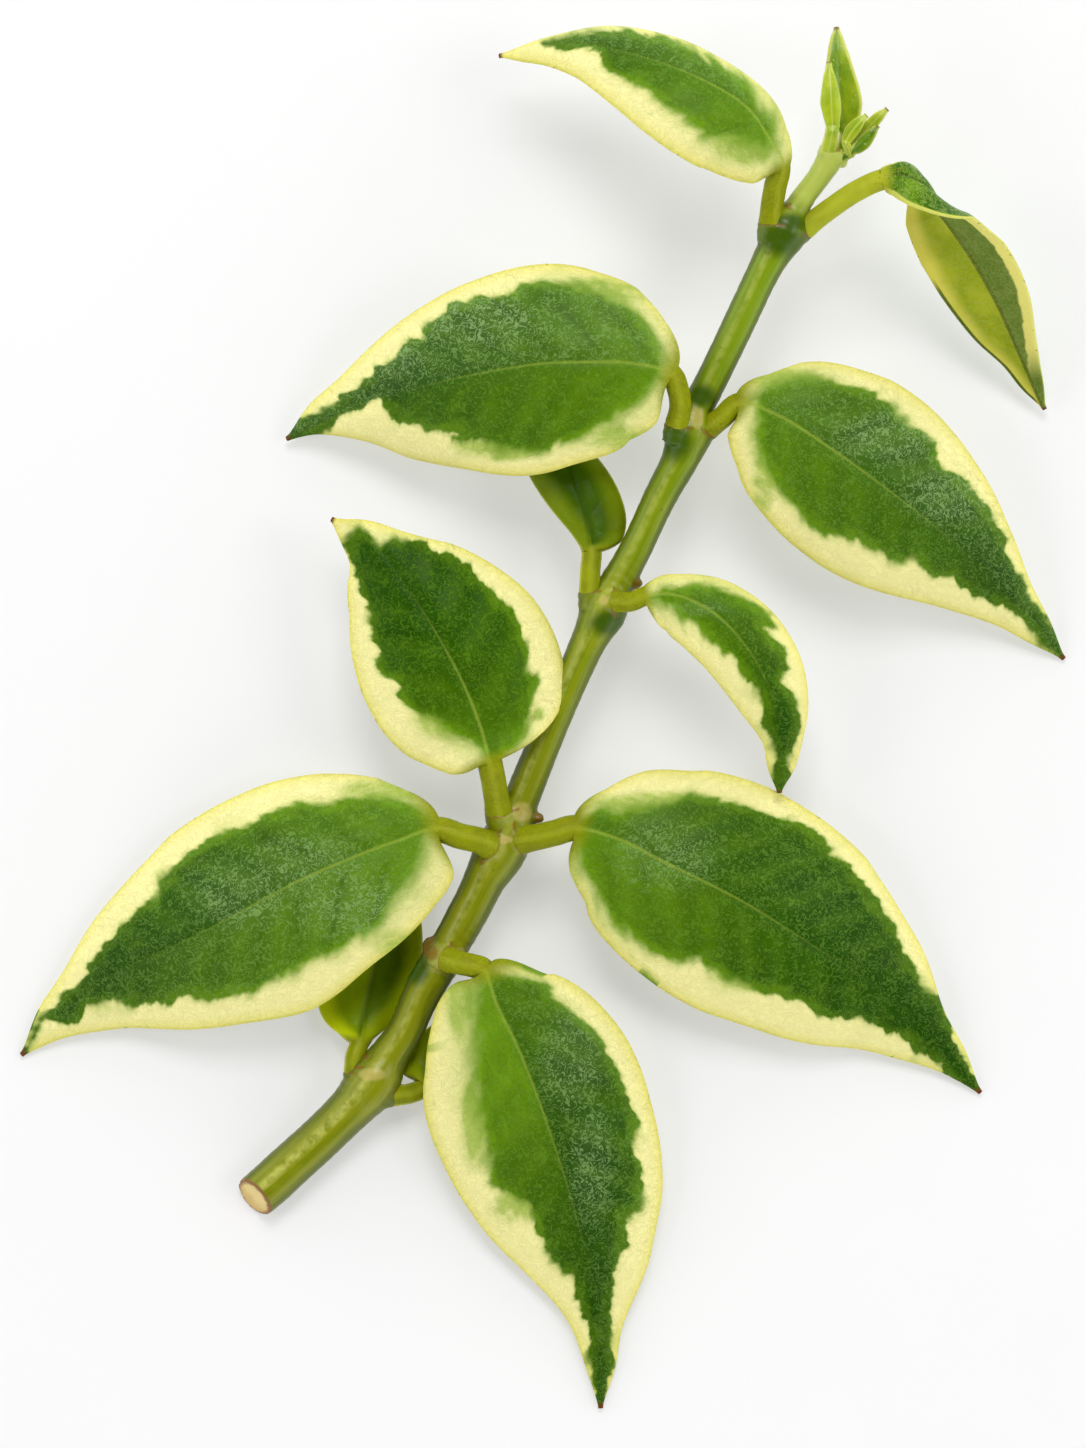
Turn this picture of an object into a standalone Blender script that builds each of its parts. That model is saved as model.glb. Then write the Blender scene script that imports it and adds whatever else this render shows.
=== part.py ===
"""A variegated hoya cutting, lying on a flat surface: one stem with opposite pairs of fleshy leaves,
a terminal bud of two young leaves and a small side shoot. Tables are in millimetres.

Frame: +Y runs from the cut end to the bud, +Z up, origin at the bottom centre of the bounding box."""
import math

import bmesh
import bpy
import numpy as np

MM = 0.001

# Driving dimensions, in millimetres
LEAF_HALF_THICKNESS = 0.62
MARGIN_HALF_THICKNESS = 0.42
TIP_RADIUS = 0.3
JOINT_GAP = 0.3
STUB_DEPTH = 2.0
STUB_FLARE = 1.2
BLADE_RINGS = 20
PETIOLE_RINGS = 3
RING_POINTS = 12
STEM_SIDES = 12
LOBE_REACH = 0.04
LOBE_END = 0.4
CUT_SLANT = 0.53
CUT_FADE = 5.0
TANGENT_REACH = 0.004
CORE_POWER = 4
THINNING_START = 0.75
TIP_THINNING = 0.5
LEAST_BEND = 0.01
PETIOLE_POWER = 2
BLADE_POWER = 6
STUB_TAPER = 0.08
STEM_STEPS = 2
SHOOT_BLADE_RINGS = 10
BUD_STEPS = 6
BUD_SIDES = 8
PETIOLE_TO_BLADE = 0.1
SPAN_STEPS = 24
WIDTH_STEPS = 12

# Centre line of the stem from the cut end to the bud: x, y, z and the stem's radius there
STEM_LINE = (
    (-36, -59, 2.6, 2.75), (-34, -57.3, 2.6, 2.82), (-31.4, -54.9, 2.6, 2.8),
    (-28.3, -52.1, 2.8, 2.78), (-25, -48.9, 3.2, 2.8), (-23.1, -46.9, 3.6, 3),
    (-21.6, -45.1, 4, 3.4), (-20.4, -43.3, 4.3, 3.2), (-19.3, -41.4, 4.5, 2.5),
    (-17.1, -38.1, 5, 2.25), (-15.6, -34.7, 5.4, 2.3), (-14.5, -32.4, 5.6, 2.45),
    (-12.8, -29.6, 6, 2.5), (-11.5, -27.4, 6.3, 2.4), (-9.5, -23.8, 6.8, 2.5),
    (-8.2, -21.3, 7.1, 2.52), (-7.2, -19.2, 7.4, 2.65), (-6.2, -17.4, 7.6, 3),
    (-5.3, -15.8, 7.8, 3.2), (-4.5, -14.2, 8, 3.1), (-3.7, -12.4, 8.3, 2.8), (-3, -10.3, 8.5, 2.3),
    (-1.7, -6.9, 8.9, 2.2), (2.3, 2.7, 9.8, 2.05), (5.7, 10.4, 10.6, 2.25), (6.4, 11.8, 10.8, 2.5),
    (7.3, 13.6, 10.9, 2.9), (7.9, 15, 11.1, 2.8), (8.7, 16.6, 11.3, 2.3), (11.4, 21.5, 11.7, 2),
    (14.3, 27.7, 12.3, 2.05), (16.8, 32.4, 12.8, 2.3), (17.4, 34, 13, 2.6),
    (17.9, 35.6, 13.1, 2.95), (18.3, 37.2, 13.2, 2.75), (18.8, 38.8, 13.4, 2.15),
    (19.8, 40.5, 13.6, 2), (22, 44.9, 14, 1.97), (24.2, 49.5, 14.4, 2), (27.1, 55.6, 15, 2.05),
    (28.5, 58.2, 15.2, 2.35), (29.1, 59.3, 15.3, 2.7), (29.6, 60.4, 15.4, 2.95),
    (30.2, 61.7, 15.6, 2.6), (31, 63, 15.8, 1.7), (31.7, 64.2, 16, 1.5), (33.5, 66.6, 16.4, 1.45),
    (34.7, 68.4, 16.8, 1.6), (35.2, 69.5, 17, 1.75), (35.4, 70.4, 17.1, 1.65),
)

# Shares of a blade's length at which its half-widths are given
WIDTHS_AT = (0.04, 0.12, 0.25, 0.4, 0.56, 0.7, 0.82, 0.92)

# One row for each leaf. The petiole runs from the stem to the base of the blade, and the midrib from
# there to the tip. Left and right are the half-widths of the two sides at WIDTHS_AT, and lobes the
# lengths that they reach back behind the base. Cup is the angle in radians that each half curves down
# by, and roll is in degrees at even steps along the blade, left side up.
LEAVES = {
    "leaf_1_left": dict(
        petiole=((-23.4, -42.9, 4.4), (-23.4, -41.5, 4.5)),
        midrib=((-22.9, -39.9, 4), (-22.2, -36.2, 2.9), (-21.1, -31.3, 2.5),
                (-19.8, -25, 2.4), (-18.8, -18.5, 1.6), (-18.5, -13.9, 0.8)),
        left=(2.7, 5.5, 7.1, 6.8, 5.8, 4.4, 2.9, 1.4), right=(1.2, 3.2, 5.2, 5.7, 5.1, 4, 2.7, 1.3),
        lobes=(0, 0), radius=1.2, cup=0.45, roll=(0, 0, 0)),
    "leaf_1_right": dict(
        petiole=((-18.3, -46.1, 4.2), (-16.8, -46, 3.9)),
        midrib=((-14.9, -45.3, 3.2), (-12.2, -42.9, 2.4), (-8.5, -40.6, 2.2),
                (-3.5, -39.4, 2.2), (2.1, -39.2, 1.6), (6.9, -40.5, 0.8)),
        left=(3, 4.9, 5.4, 5.1, 4.3, 3.2, 2.1, 1), right=(2.8, 4.1, 5, 5.3, 5, 3.9, 2.7, 1.3),
        lobes=(1.9, 0.1), radius=1.25, cup=0.45, roll=(0, 0, 0)),
    "leaf_2_right": dict(
        petiole=((-11.5, -29.2, 8.9), (-10.1, -29.5, 10.1), (-8.6, -29.8, 10.4)),
        midrib=((-7.3, -30.3, 10.3), (-5.7, -34.5, 10.6), (-2.8, -40.6, 10),
                (0.9, -50.6, 8.2), (4.6, -62.8, 5.4), (6.6, -71.7, 3),
                (7.2, -85.4, 0.5)),
        left=(5.5, 9.8, 13.2, 13.6, 12, 8, 3.3, 1.9), right=(5.4, 10.8, 14.3, 14.4, 12.1, 7.6, 3.6, 1.6),
        lobes=(0.9, 1.3), radius=1.45, cup=0.5, roll=(0, 0, 0)),
    "leaf_3_left": dict(
        petiole=((-6.8, -14.8, 10.4), (-8, -14.3, 11.3), (-10.2, -13.8, 11.6)),
        midrib=((-12.9, -13, 11.4), (-17.6, -14.3, 11.8), (-23.5, -16.5, 11.9),
                (-29.9, -19.3, 11.3), (-42.4, -26, 8.4), (-55.1, -32.2, 3.8),
                (-65.1, -41.3, 0.5)),
        left=(6.2, 10.5, 13.4, 15, 12, 9, 5.7, 2), right=(5.8, 10.4, 13.4, 14.4, 13.4, 9.2, 4.4, 2.6),
        lobes=(2.8, 0), radius=1.6, cup=0.5, roll=(8, 10, 6)),
    "leaf_3_right": dict(
        petiole=((-2.3, -14.2, 9.9), (-0.6, -13.9, 10.8), (1.5, -13.4, 11.2)),
        midrib=((3.9, -12.8, 11.2), (9.5, -14.2, 11.7), (14.4, -16.7, 12),
                (24.3, -21.7, 11.4), (34.2, -27.9, 8.8), (44.4, -34.5, 4.6),
                (54.6, -46, 0.5)),
        left=(5.1, 10.9, 14, 14.4, 12.8, 8.2, 3.4, 1.9), right=(5.6, 10.6, 14.3, 15, 12.8, 10, 6.3, 2.2),
        lobes=(0.1, 2), radius=1.62, cup=0.5, roll=(0, 0, 0)),
    "leaf_3_up": dict(
        petiole=((-5.5, -10.4, 10.3), (-5.8, -8.7, 11.1), (-6.1, -6.9, 12.2)),
        midrib=((-6.6, -4.4, 13.3), (-7.7, -0.2, 14.2), (-9.8, 5, 14.6),
                (-12.6, 10.3, 14.5), (-17.6, 18.2, 13.6), (-21, 22.5, 12.8),
                (-26, 25.2, 11.8)),
        left=(4.9, 9.6, 11.9, 12.2, 10.8, 7.9, 5.2, 2.8), right=(6.7, 11.5, 13.1, 13, 10.9, 7.4, 3.2, 1.4),
        lobes=(2.6, 0), radius=1.55, cup=0.5, roll=(0, 0, 0)),
    "leaf_4_left": dict(
        petiole=((5.8, 16.6, 11.9), (5.8, 18.7, 12)),
        midrib=((6, 21.2, 11.7), (5.5, 25.1, 11.2), (3.8, 30.1, 10.4),
                (0.6, 35.7, 8.8), (-3.8, 42, 6)),
        left=(0.9, 2.2, 3.7, 4.6, 4.7, 4, 2.7, 1.4), right=(3.4, 4.6, 4.8, 4.2, 2.9, 1.6, 0.6, 0.1),
        lobes=(0.4, 0.1), radius=1.25, cup=0.4, roll=(0, 0, 0)),
    "leaf_4_right": dict(
        petiole=((9.1, 15, 13.3), (10.8, 15, 13.9)),
        midrib=((12.6, 15.7, 14.3), (15.8, 15.9, 15.3), (20.7, 13.7, 16.8),
                (25.3, 8.8, 17.2), (28, 3.5, 16), (29.3, -2, 13.8),
                (29.1, -8.4, 10.8)),
        left=(1.6, 3.1, 4.8, 5.8, 5.6, 4.5, 2.8, 1.7), right=(3.8, 5.4, 6.1, 6.2, 5.7, 4.3, 2.5, 1.7),
        lobes=(0, 0.3), radius=1.2, cup=0.8, roll=(0, 0, 0, 0, 0)),
    "leaf_5_left": dict(
        petiole=((16.5, 37, 15.2), (16.8, 38.9, 15.9), (16.5, 40.8, 16.9)),
        midrib=((15.6, 42.7, 17.8), (10.6, 44, 18.7), (5.5, 44.1, 18.8),
                (-0.4, 43.9, 18.2), (-11.4, 42.2, 14.2), (-20.1, 40, 8.8),
                (-31.9, 35.6, 1.5)),
        left=(6.4, 10.3, 12.9, 13.7, 11.6, 8.8, 4, 1), right=(5.6, 10.4, 12.7, 12.5, 10.6, 7.8, 4.7, 2.9),
        lobes=(2.2, 0), radius=1.35, cup=0.5, roll=(0, 0, 0)),
    "leaf_5_right": dict(
        petiole=((20.7, 36.7, 14), (21.9, 37.5, 15)),
        midrib=((24, 39.2, 15.8), (28.6, 37.8, 16.4), (36.3, 32.9, 16.2),
                (43.8, 27.6, 13.6), (51.5, 21.7, 9.6), (59.2, 14.4, 4.4),
                (65, 8.2, 0.5)),
        left=(4, 8.9, 11.6, 11.7, 9.5, 6.1, 3.2, 1.7), right=(4.6, 9.5, 12.3, 12.7, 10.6, 7.2, 3.9, 1.9),
        lobes=(0, 2.5), radius=1.35, cup=0.5, roll=(0, 0, 0)),
    "leaf_6_left": dict(
        petiole=((27.9, 61.5, 16.7), (28, 63.4, 17.1), (28.3, 65.4, 18.2)),
        midrib=((28.7, 67.9, 20.2), (27.4, 70.9, 21.8), (24.5, 74.7, 22.8),
                (19, 78, 23), (11.8, 80.9, 21.2), (4.5, 82.8, 17.6),
                (0.2, 83.1, 14.8), (-5.3, 82.2, 11.5)),
        left=(4.1, 7.8, 9.7, 9.1, 6.8, 4.4, 2.9, 1.6), right=(2, 3.8, 5, 5.5, 5.3, 4.6, 1.9, 0.8),
        lobes=(2.2, 0), radius=1.4, cup=0.6, roll=(20, 25, 25, 30, 35)),
    "leaf_6_right": dict(
        petiole=((32.4, 61, 15.5), (34.9, 62.8, 17.2), (38.2, 64.9, 19.4)),
        midrib=((41.4, 66.2, 20.8), (43.9, 66.3, 21), (46.3, 65.3, 20.2),
                (49.4, 62, 17.8), (52.7, 57.6, 14.6), (56.3, 51.9, 10.6),
                (59.4, 45.9, 6.2), (62.5, 39.3, 1.8)),
        left=(1.4, 4.6, 6.3, 6.5, 6.1, 5, 2.9, 1.7), right=(2, 4.2, 5.4, 5.6, 4.9, 3.4, 2.1, 1.2),
        lobes=(0.9, 0.8), radius=1.3, cup=0.45, roll=(-5, -60, -120, -140, -145, -145, -145, -145, -140)),
    "tip_leaf_back": dict(
        petiole=((36.7, 70.6, 16.1),),
        midrib=((36.9, 72.3, 17), (36.5, 74.9, 17.8), (36.2, 78.3, 18.2),
                (36, 81.7, 18.4), (35.8, 85, 18)),
        left=(0.8, 1.7, 2.2, 2.15, 1.85, 1.45, 1.1, 0.65), right=(0.9, 2, 2.55, 2.45, 1.95, 1.45, 0.95, 0.55),
        lobes=(0, 0), radius=0.7, cup=-0.5, roll=(0, 0, 0)),
    "tip_leaf_front": dict(
        petiole=((34.9, 70.5, 18.5),),
        midrib=((35.2, 72.3, 19.6), (35.1, 74.3, 20.3), (35, 76.5, 20.6),
                (34.8, 80.5, 20.2)),
        left=(0.1, 0.6, 1, 1.3, 1.15, 0.9, 0.65, 0.3), right=(0.35, 0.7, 1.05, 1.15, 1, 0.75, 0.4, 0.1),
        lobes=(0, 0), radius=0.85, cup=0.9, roll=(0, 0, 0)),
}

# Leaflets of the side shoot, in the same form
SIDE_LEAFLETS = {
    "side_leaf_low": dict(
        petiole=((37.3, 69.5, 18),),
        midrib=((37.9, 69.9, 18.2), (38.9, 70.6, 18.6), (39.9, 71.7, 18.8),
                (40.8, 72.9, 19)),
        left=(0.3, 0.5, 0.7, 0.8, 0.75, 0.6, 0.4, 0.2), right=(0.3, 0.5, 0.65, 0.7, 0.6, 0.45, 0.3, 0.15),
        lobes=(0, 0), radius=0.5, cup=0.7, roll=(0, 0, 0)),
    "side_leaf_mid": dict(
        petiole=((37.6, 70.1, 18.1),),
        midrib=((38.3, 71, 18), (39.4, 72.4, 17.9), (40.6, 73.7, 18.1),
                (42, 75, 18.4)),
        left=(0.2, 0.4, 0.6, 0.7, 0.7, 0.6, 0.45, 0.2), right=(0.2, 0.4, 0.6, 0.7, 0.65, 0.55, 0.4, 0.2),
        lobes=(0, 0), radius=0.5, cup=0.7, roll=(0, 0, 0)),
    "side_leaf_high": dict(
        petiole=((37.2, 70.1, 18.4),),
        midrib=((36.9, 70.8, 18.9), (37.5, 72, 19.3), (38.5, 73.2, 19.6),
                (39.4, 74.1, 19.7)),
        left=(0.3, 0.55, 0.75, 0.85, 0.8, 0.65, 0.45, 0.2), right=(0.3, 0.5, 0.65, 0.7, 0.65, 0.5, 0.3, 0.15),
        lobes=(0, 0), radius=0.5, cup=0.7, roll=(0, 0, 0)),
}

# Side buds and scars on the stem: centre and half-sizes
STEM_BUDS = (
    ((11.5, 17.3, 12.0), (0.8, 0.7, 0.7)),
    ((-0.6, -11.6, 9.2), (0.8, 0.7, 0.7)),
    ((-13.9, -27.6, 6.6), (1.1, 1.3, 1.2)),
    ((30.1, 63.0, 17.0), (0.5, 0.6, 0.5)),
)

LEAF_GREEN = (0.06, 0.19, 0.02)
LEAF_DARK = (0.03, 0.1, 0.01)
YOUNG_GREEN = (0.2, 0.4, 0.02)
STEM_GREEN = (0.13, 0.22, 0.02)


def material(name, color, roughness):
    mat = bpy.data.materials.new(name)
    mat.use_nodes = True
    shader = mat.node_tree.nodes["Principled BSDF"]
    shader.inputs["Base Color"].default_value = (*color, 1)
    shader.inputs["Roughness"].default_value = roughness
    mat.diffuse_color = (*color, 1)
    return mat


def ease(x):
    x = np.clip(x, 0, 1)
    return x * x * (3 - 2 * x)


def smooth_path(points, steps):
    """Centripetal Catmull-Rom curve through the points, with a number of steps between each two."""
    pts = np.array(points, float)
    pts = np.vstack([2 * pts[0] - pts[1], pts, 2 * pts[-1] - pts[-2]])
    knots = np.concatenate([[0], np.cumsum(np.linalg.norm(np.diff(pts, axis=0), axis=1) ** 0.5)])
    line = []
    for i in range(1, len(pts) - 2):
        t0, t1, t2, t3 = knots[i - 1:i + 3]
        p0, p1, p2, p3 = pts[i - 1:i + 3]
        t = np.linspace(t1, t2, steps, endpoint=False)[:, None]
        a1 = ((t1 - t) * p0 + (t - t0) * p1) / (t1 - t0)
        a2 = ((t2 - t) * p1 + (t - t1) * p2) / (t2 - t1)
        a3 = ((t3 - t) * p2 + (t - t2) * p3) / (t3 - t2)
        b1 = ((t2 - t) * a1 + (t - t0) * a2) / (t2 - t0)
        b2 = ((t3 - t) * a2 + (t - t1) * a3) / (t3 - t1)
        line.append(((t2 - t) * b1 + (t - t1) * b2) / (t2 - t1))
    return np.vstack(line + [pts[-2][None]])


def unit(v):
    return v / np.linalg.norm(v, axis=-1, keepdims=True)


def side_width(t, widths, length):
    """Half-width of one side of a blade, for t from 0 at its base to 1 at its tip: a smooth curve
    through the half-widths at WIDTHS_AT, which ends at 0, with a round start before the first one."""
    shares = np.array((0, *WIDTHS_AT, 1))
    curve = smooth_path(np.stack([shares * length, (0, *widths, 0)], 1), WIDTH_STEPS)
    smooth = np.interp(t * length, curve[:, 0], np.maximum(curve[:, 1], 0))
    return np.where(t < WIDTHS_AT[0], widths[0] * (t / WIDTHS_AT[0]) ** 0.5, smooth)


def leaf_rings(leaf, blade_rings=BLADE_RINGS, petiole_rings=PETIOLE_RINGS):
    """Rings of points round the petiole and blade, from the stem to the tip, in millimetres."""
    start = np.array(leaf["petiole"][0])
    first = unit(np.array((leaf["petiole"] + leaf["midrib"])[1]) - start)
    path = smooth_path((tuple(start + 0.5 * JOINT_GAP * first),) + leaf["petiole"][1:] + leaf["midrib"],
                       SPAN_STEPS)
    run = np.concatenate([[0], np.cumsum(np.linalg.norm(np.diff(path, axis=0), axis=1))])
    base, total = run[len(leaf["petiole"]) * SPAN_STEPS], run[-1]
    along = 0.5 - 0.5 * np.cos(np.linspace(0, math.pi, blade_rings + 1))
    stations = np.concatenate([np.linspace(0, base, petiole_rings, endpoint=False),
                               base + along * (total - base)])
    t = np.clip((stations - base) / (total - base), 0, 1)

    def at(s):
        return np.stack([np.interp(s, run, path[:, k]) for k in range(3)], 1)

    reach = TANGENT_REACH * total
    centre = at(stations)
    forward = unit(at(stations + reach) - at(stations - reach))
    level = unit(np.cross((0, 0, 1), forward))
    raised = np.cross(forward, level)
    roll = np.radians(np.interp(t, np.linspace(0, 1, len(leaf["roll"])), leaf["roll"]))[:, None]
    left = np.cos(roll) * level + np.sin(roll) * raised
    up = np.cos(roll) * raised - np.sin(roll) * level

    blade = ease(t / PETIOLE_TO_BLADE)
    core = TIP_RADIUS + (leaf["radius"] - TIP_RADIUS) * (1 - t) ** CORE_POWER
    middle = leaf["radius"] + (leaf.get("thick", LEAF_HALF_THICKNESS) - leaf["radius"]) * blade
    middle = middle * (1 - TIP_THINNING * ease((t - THINNING_START) / (1 - THINNING_START)))
    margin = middle * (1 + (MARGIN_HALF_THICKNESS / LEAF_HALF_THICKNESS - 1) * blade)
    widths = [side_width(t, leaf[side], total - base) for side in ("left", "right")]
    rings = []
    for i in range(len(t)):
        ring = []
        for k in range(RING_POINTS):
            angle = 2 * math.pi * k / RING_POINTS
            across = math.cos(angle)
            side = 0 if across >= 0 else 1
            half = math.hypot(widths[side][i], core[i])
            bend = max(blade[i], LEAST_BEND) * leaf["cup"]
            lobe = leaf["lobes"][side] * min(t[i] / LOBE_REACH, 1) ** 0.5 * max(1 - t[i] / LOBE_END, 0) ** 1.5
            lobe *= across ** 2
            thick = middle[i] + (margin[i] - middle[i]) * abs(across)
            power = PETIOLE_POWER + (BLADE_POWER - PETIOLE_POWER) * blade[i]
            thick *= math.copysign(max(1 - abs(across) ** power, 0) ** 0.5, math.sin(angle))
            tilt = bend * across
            normal = math.cos(tilt) * up[i] + math.sin(tilt) * left[i]
            ring.append(centre[i] + half / bend * (math.sin(tilt) * left[i] - (1 - math.cos(tilt)) * up[i])
                        - lobe * forward[i] + thick * normal)
        rings.append(ring)
    return np.array(rings)


def tube_rings(line, sides, slant=0):
    """Rings round a line of points with radii, with a flat facet at the bottom. A slant leans the first
    ring back, so that its lower edge reaches further, and the rings after it less and less."""
    line = np.array(line, float)
    centre, radius = line[:, :3], line[:, 3]
    forward = unit(np.gradient(centre, axis=0))
    level = unit(np.cross((0, 0, 1), forward))
    raised = np.cross(forward, level)
    angles = 2 * math.pi * (np.arange(sides) + 0.5) / sides + 0.5 * math.pi
    spread = np.cos(angles)[None, :, None] * level[:, None] + np.sin(angles)[None, :, None] * raised[:, None]
    run = np.concatenate([[0], np.cumsum(np.linalg.norm(np.diff(centre, axis=0), axis=1))])
    lean = slant * np.clip(1 - run / CUT_FADE, 0, 1)[:, None] * radius[:, None] * np.sin(angles)
    return centre[:, None] + radius[:, None, None] * spread + lean[..., None] * forward[:, None]


def skin(name, rings, mat):
    """One closed mesh over rings of equal length, with flat ends, kept above the surface."""
    count, size = len(rings), len(rings[0])
    points = np.array(rings, float).reshape(-1, 3)
    points[:, 2] = np.maximum(points[:, 2], 0)
    faces = []
    for i in range(count - 1):
        for k in range(size):
            n = (k + 1) % size
            faces.append((i * size + k, (i + 1) * size + k, (i + 1) * size + n, i * size + n))
    faces.append(tuple(range(size)))
    faces.append(tuple(reversed(range((count - 1) * size, count * size))))
    mesh = bpy.data.meshes.new(name)
    mesh.from_pydata([tuple(p) for p in points * MM], [], faces)
    mesh.shade_smooth()
    obj = bpy.data.objects.new(name, mesh)
    bpy.context.scene.collection.objects.link(obj)
    mesh.materials.append(mat)
    return obj


def face_out(obj):
    """Turn all faces of a closed mesh outward."""
    bm = bmesh.new()
    bm.from_mesh(obj.data)
    bmesh.ops.recalc_face_normals(bm, faces=bm.faces)
    bm.to_mesh(obj.data)
    bm.free()


def bud(name, centre, half, mat):
    """A small pointed-oval bud as a squashed ball."""
    rings = []
    for i in range(1, BUD_STEPS):
        polar = math.pi * i / BUD_STEPS
        rings.append([(centre[0] + half[0] * math.sin(polar) * math.cos(a),
                       centre[1] + half[1] * math.sin(polar) * math.sin(a),
                       centre[2] - half[2] * math.cos(polar))
                      for a in np.linspace(0, 2 * math.pi, BUD_SIDES, endpoint=False)])
    return skin(name, rings, mat)


def stub(name, leaf, mat):
    """The short stump on the stem that carries a petiole, ending in a flat face."""
    start = np.array(leaf["petiole"][0])
    outward = unit(np.array((leaf["petiole"] + leaf["midrib"])[1]) - start)
    face = start - 0.5 * JOINT_GAP * outward
    line = [(*(face - STUB_DEPTH * (1 - u) * outward), leaf["radius"] * (STUB_FLARE - STUB_TAPER * u))
            for u in (0, 0.5, 1)]
    return skin(name, tube_rings(line, STEM_SIDES), mat)


def bake(obj):
    """Replace an object's mesh by the result of its modifiers."""
    evaluated = obj.evaluated_get(bpy.context.evaluated_depsgraph_get())
    mesh = bpy.data.meshes.new_from_object(evaluated)
    obj.modifiers.clear()
    obj.data = mesh


def trim(obj, cutter):
    """Cut an object back where the cutter crosses it."""
    cut = obj.modifiers.new("trim", "BOOLEAN")
    cut.operation = "DIFFERENCE"
    cut.solver = "EXACT"
    cut.object = cutter
    bake(obj)


def join_all(target, pieces):
    """Boolean union of the pieces into the target, applied."""
    group = bpy.data.collections.new(target.name + "_pieces")
    bpy.context.scene.collection.children.link(group)
    for piece in pieces:
        face_out(piece)
        bpy.context.scene.collection.objects.unlink(piece)
        group.objects.link(piece)
    face_out(target)
    union = target.modifiers.new("union", "BOOLEAN")
    union.operation = "UNION"
    union.solver = "EXACT"
    union.operand_type = "COLLECTION"
    union.collection = group
    bake(target)
    for piece in pieces:
        bpy.data.objects.remove(piece)
    bpy.data.collections.remove(group)


def make_stem():
    mat = material("stem_skin", STEM_GREEN, 0.4)
    rings = tube_rings(smooth_path(STEM_LINE, STEM_STEPS), STEM_SIDES, CUT_SLANT)
    stem = skin("stem", rings, mat)
    pieces = [stub("stub_" + name, leaf, mat) for name, leaf in LEAVES.items()]
    pieces.append(stub("stub_side", SIDE_LEAFLETS["side_leaf_low"], mat))
    pieces += [bud("bud_%d" % i, centre, half, mat) for i, (centre, half) in enumerate(STEM_BUDS)]
    join_all(stem, pieces)
    return stem


def make_clearance():
    """The stem grown by the joint gap, which trims the petioles that spring from it."""
    line = smooth_path(STEM_LINE, STEM_STEPS)
    line[:, 3] += JOINT_GAP
    rings = tube_rings(line, STEM_SIDES, CUT_SLANT)
    clearance = skin("clearance", rings, material("clearance", STEM_GREEN, 0.4))
    face_out(clearance)
    return clearance


def make_side_shoot():
    mat = material("side_shoot_skin", YOUNG_GREEN, 0.4)
    leaflets = [skin(name, leaf_rings(leaf, SHOOT_BLADE_RINGS, 1), mat)
                for name, leaf in SIDE_LEAFLETS.items()]
    shoot = leaflets[0]
    shoot.name = "side_shoot"
    join_all(shoot, leaflets[1:])
    return shoot


def make_leaf(name, leaf):
    color = LEAF_GREEN
    if name.startswith("tip"):
        color = YOUNG_GREEN
    elif name in ("leaf_1_left", "leaf_1_right", "leaf_4_left"):
        color = LEAF_DARK
    obj = skin(name, leaf_rings(leaf), material(name + "_skin", color, 0.35))
    face_out(obj)
    return obj


def centre_on_origin(objects):
    """Hang all objects on one empty, set so that their box stands centred on the origin."""
    corners = np.array([v.co[:] for obj in objects for v in obj.data.vertices])
    low, high = corners.min(0), corners.max(0)
    root = bpy.data.objects.new("cutting", None)
    bpy.context.scene.collection.objects.link(root)
    root.location = (-(low[0] + high[0]) / 2, -(low[1] + high[1]) / 2, -low[2])
    for obj in objects:
        obj.parent = root


def main():
    for obj in list(bpy.data.objects):
        bpy.data.objects.remove(obj)
    leaves = [make_leaf(name, leaf) for name, leaf in LEAVES.items()] + [make_side_shoot()]
    clearance = make_clearance()
    for leaf in leaves:
        trim(leaf, clearance)
    bpy.data.objects.remove(clearance)
    centre_on_origin([make_stem()] + leaves)


main()
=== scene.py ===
"""Finished looks for the hoya cutting: fine leaves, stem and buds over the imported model, with their
materials, a pale floor, soft light and the camera. Tables are in millimetres, in the part's own frame."""
import math

import bpy
import numpy as np
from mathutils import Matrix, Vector


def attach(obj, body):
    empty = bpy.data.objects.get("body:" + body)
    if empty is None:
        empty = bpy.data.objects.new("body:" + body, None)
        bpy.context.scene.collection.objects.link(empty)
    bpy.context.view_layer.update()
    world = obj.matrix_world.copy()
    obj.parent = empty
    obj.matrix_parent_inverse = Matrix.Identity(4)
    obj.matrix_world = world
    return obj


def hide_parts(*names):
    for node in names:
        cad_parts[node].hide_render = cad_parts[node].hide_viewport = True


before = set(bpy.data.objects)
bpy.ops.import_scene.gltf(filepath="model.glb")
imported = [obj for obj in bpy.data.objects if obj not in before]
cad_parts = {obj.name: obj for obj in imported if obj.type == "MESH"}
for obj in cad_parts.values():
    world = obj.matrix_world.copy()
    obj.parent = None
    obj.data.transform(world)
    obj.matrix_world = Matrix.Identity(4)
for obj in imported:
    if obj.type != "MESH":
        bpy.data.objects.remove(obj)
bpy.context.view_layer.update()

MM = 0.001
# The camera: height in metres, lens and sensor height in millimetres
CAMERA_HEIGHT = 0.754
LENS = 150
SENSOR = 36

# The form of the leaves, with the values of the part's source: thicknesses, radii and the gap at a
# joint in millimetres, and places along a blade as shares of its length
LEAF_HALF_THICKNESS = 0.62
MARGIN_HALF_THICKNESS = 0.42
TIP_RADIUS = 0.3
LOBE_REACH = 0.04
LOBE_END = 0.4
TANGENT_REACH = 0.004
CORE_POWER = 4
THINNING_START = 0.75
TIP_THINNING = 0.5
LEAST_BEND = 0.01
PETIOLE_POWER = 2
BLADE_POWER = 6
PETIOLE_TO_BLADE = 0.1
SPAN_STEPS = 24
WIDTH_STEPS = 12
JOINT_GAP = 0.3
# How far the stem's cut end leans, against its height, and how far along the stem the lean reaches
CUT_SLANT = 0.53
CUT_FADE = 5.0

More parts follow.
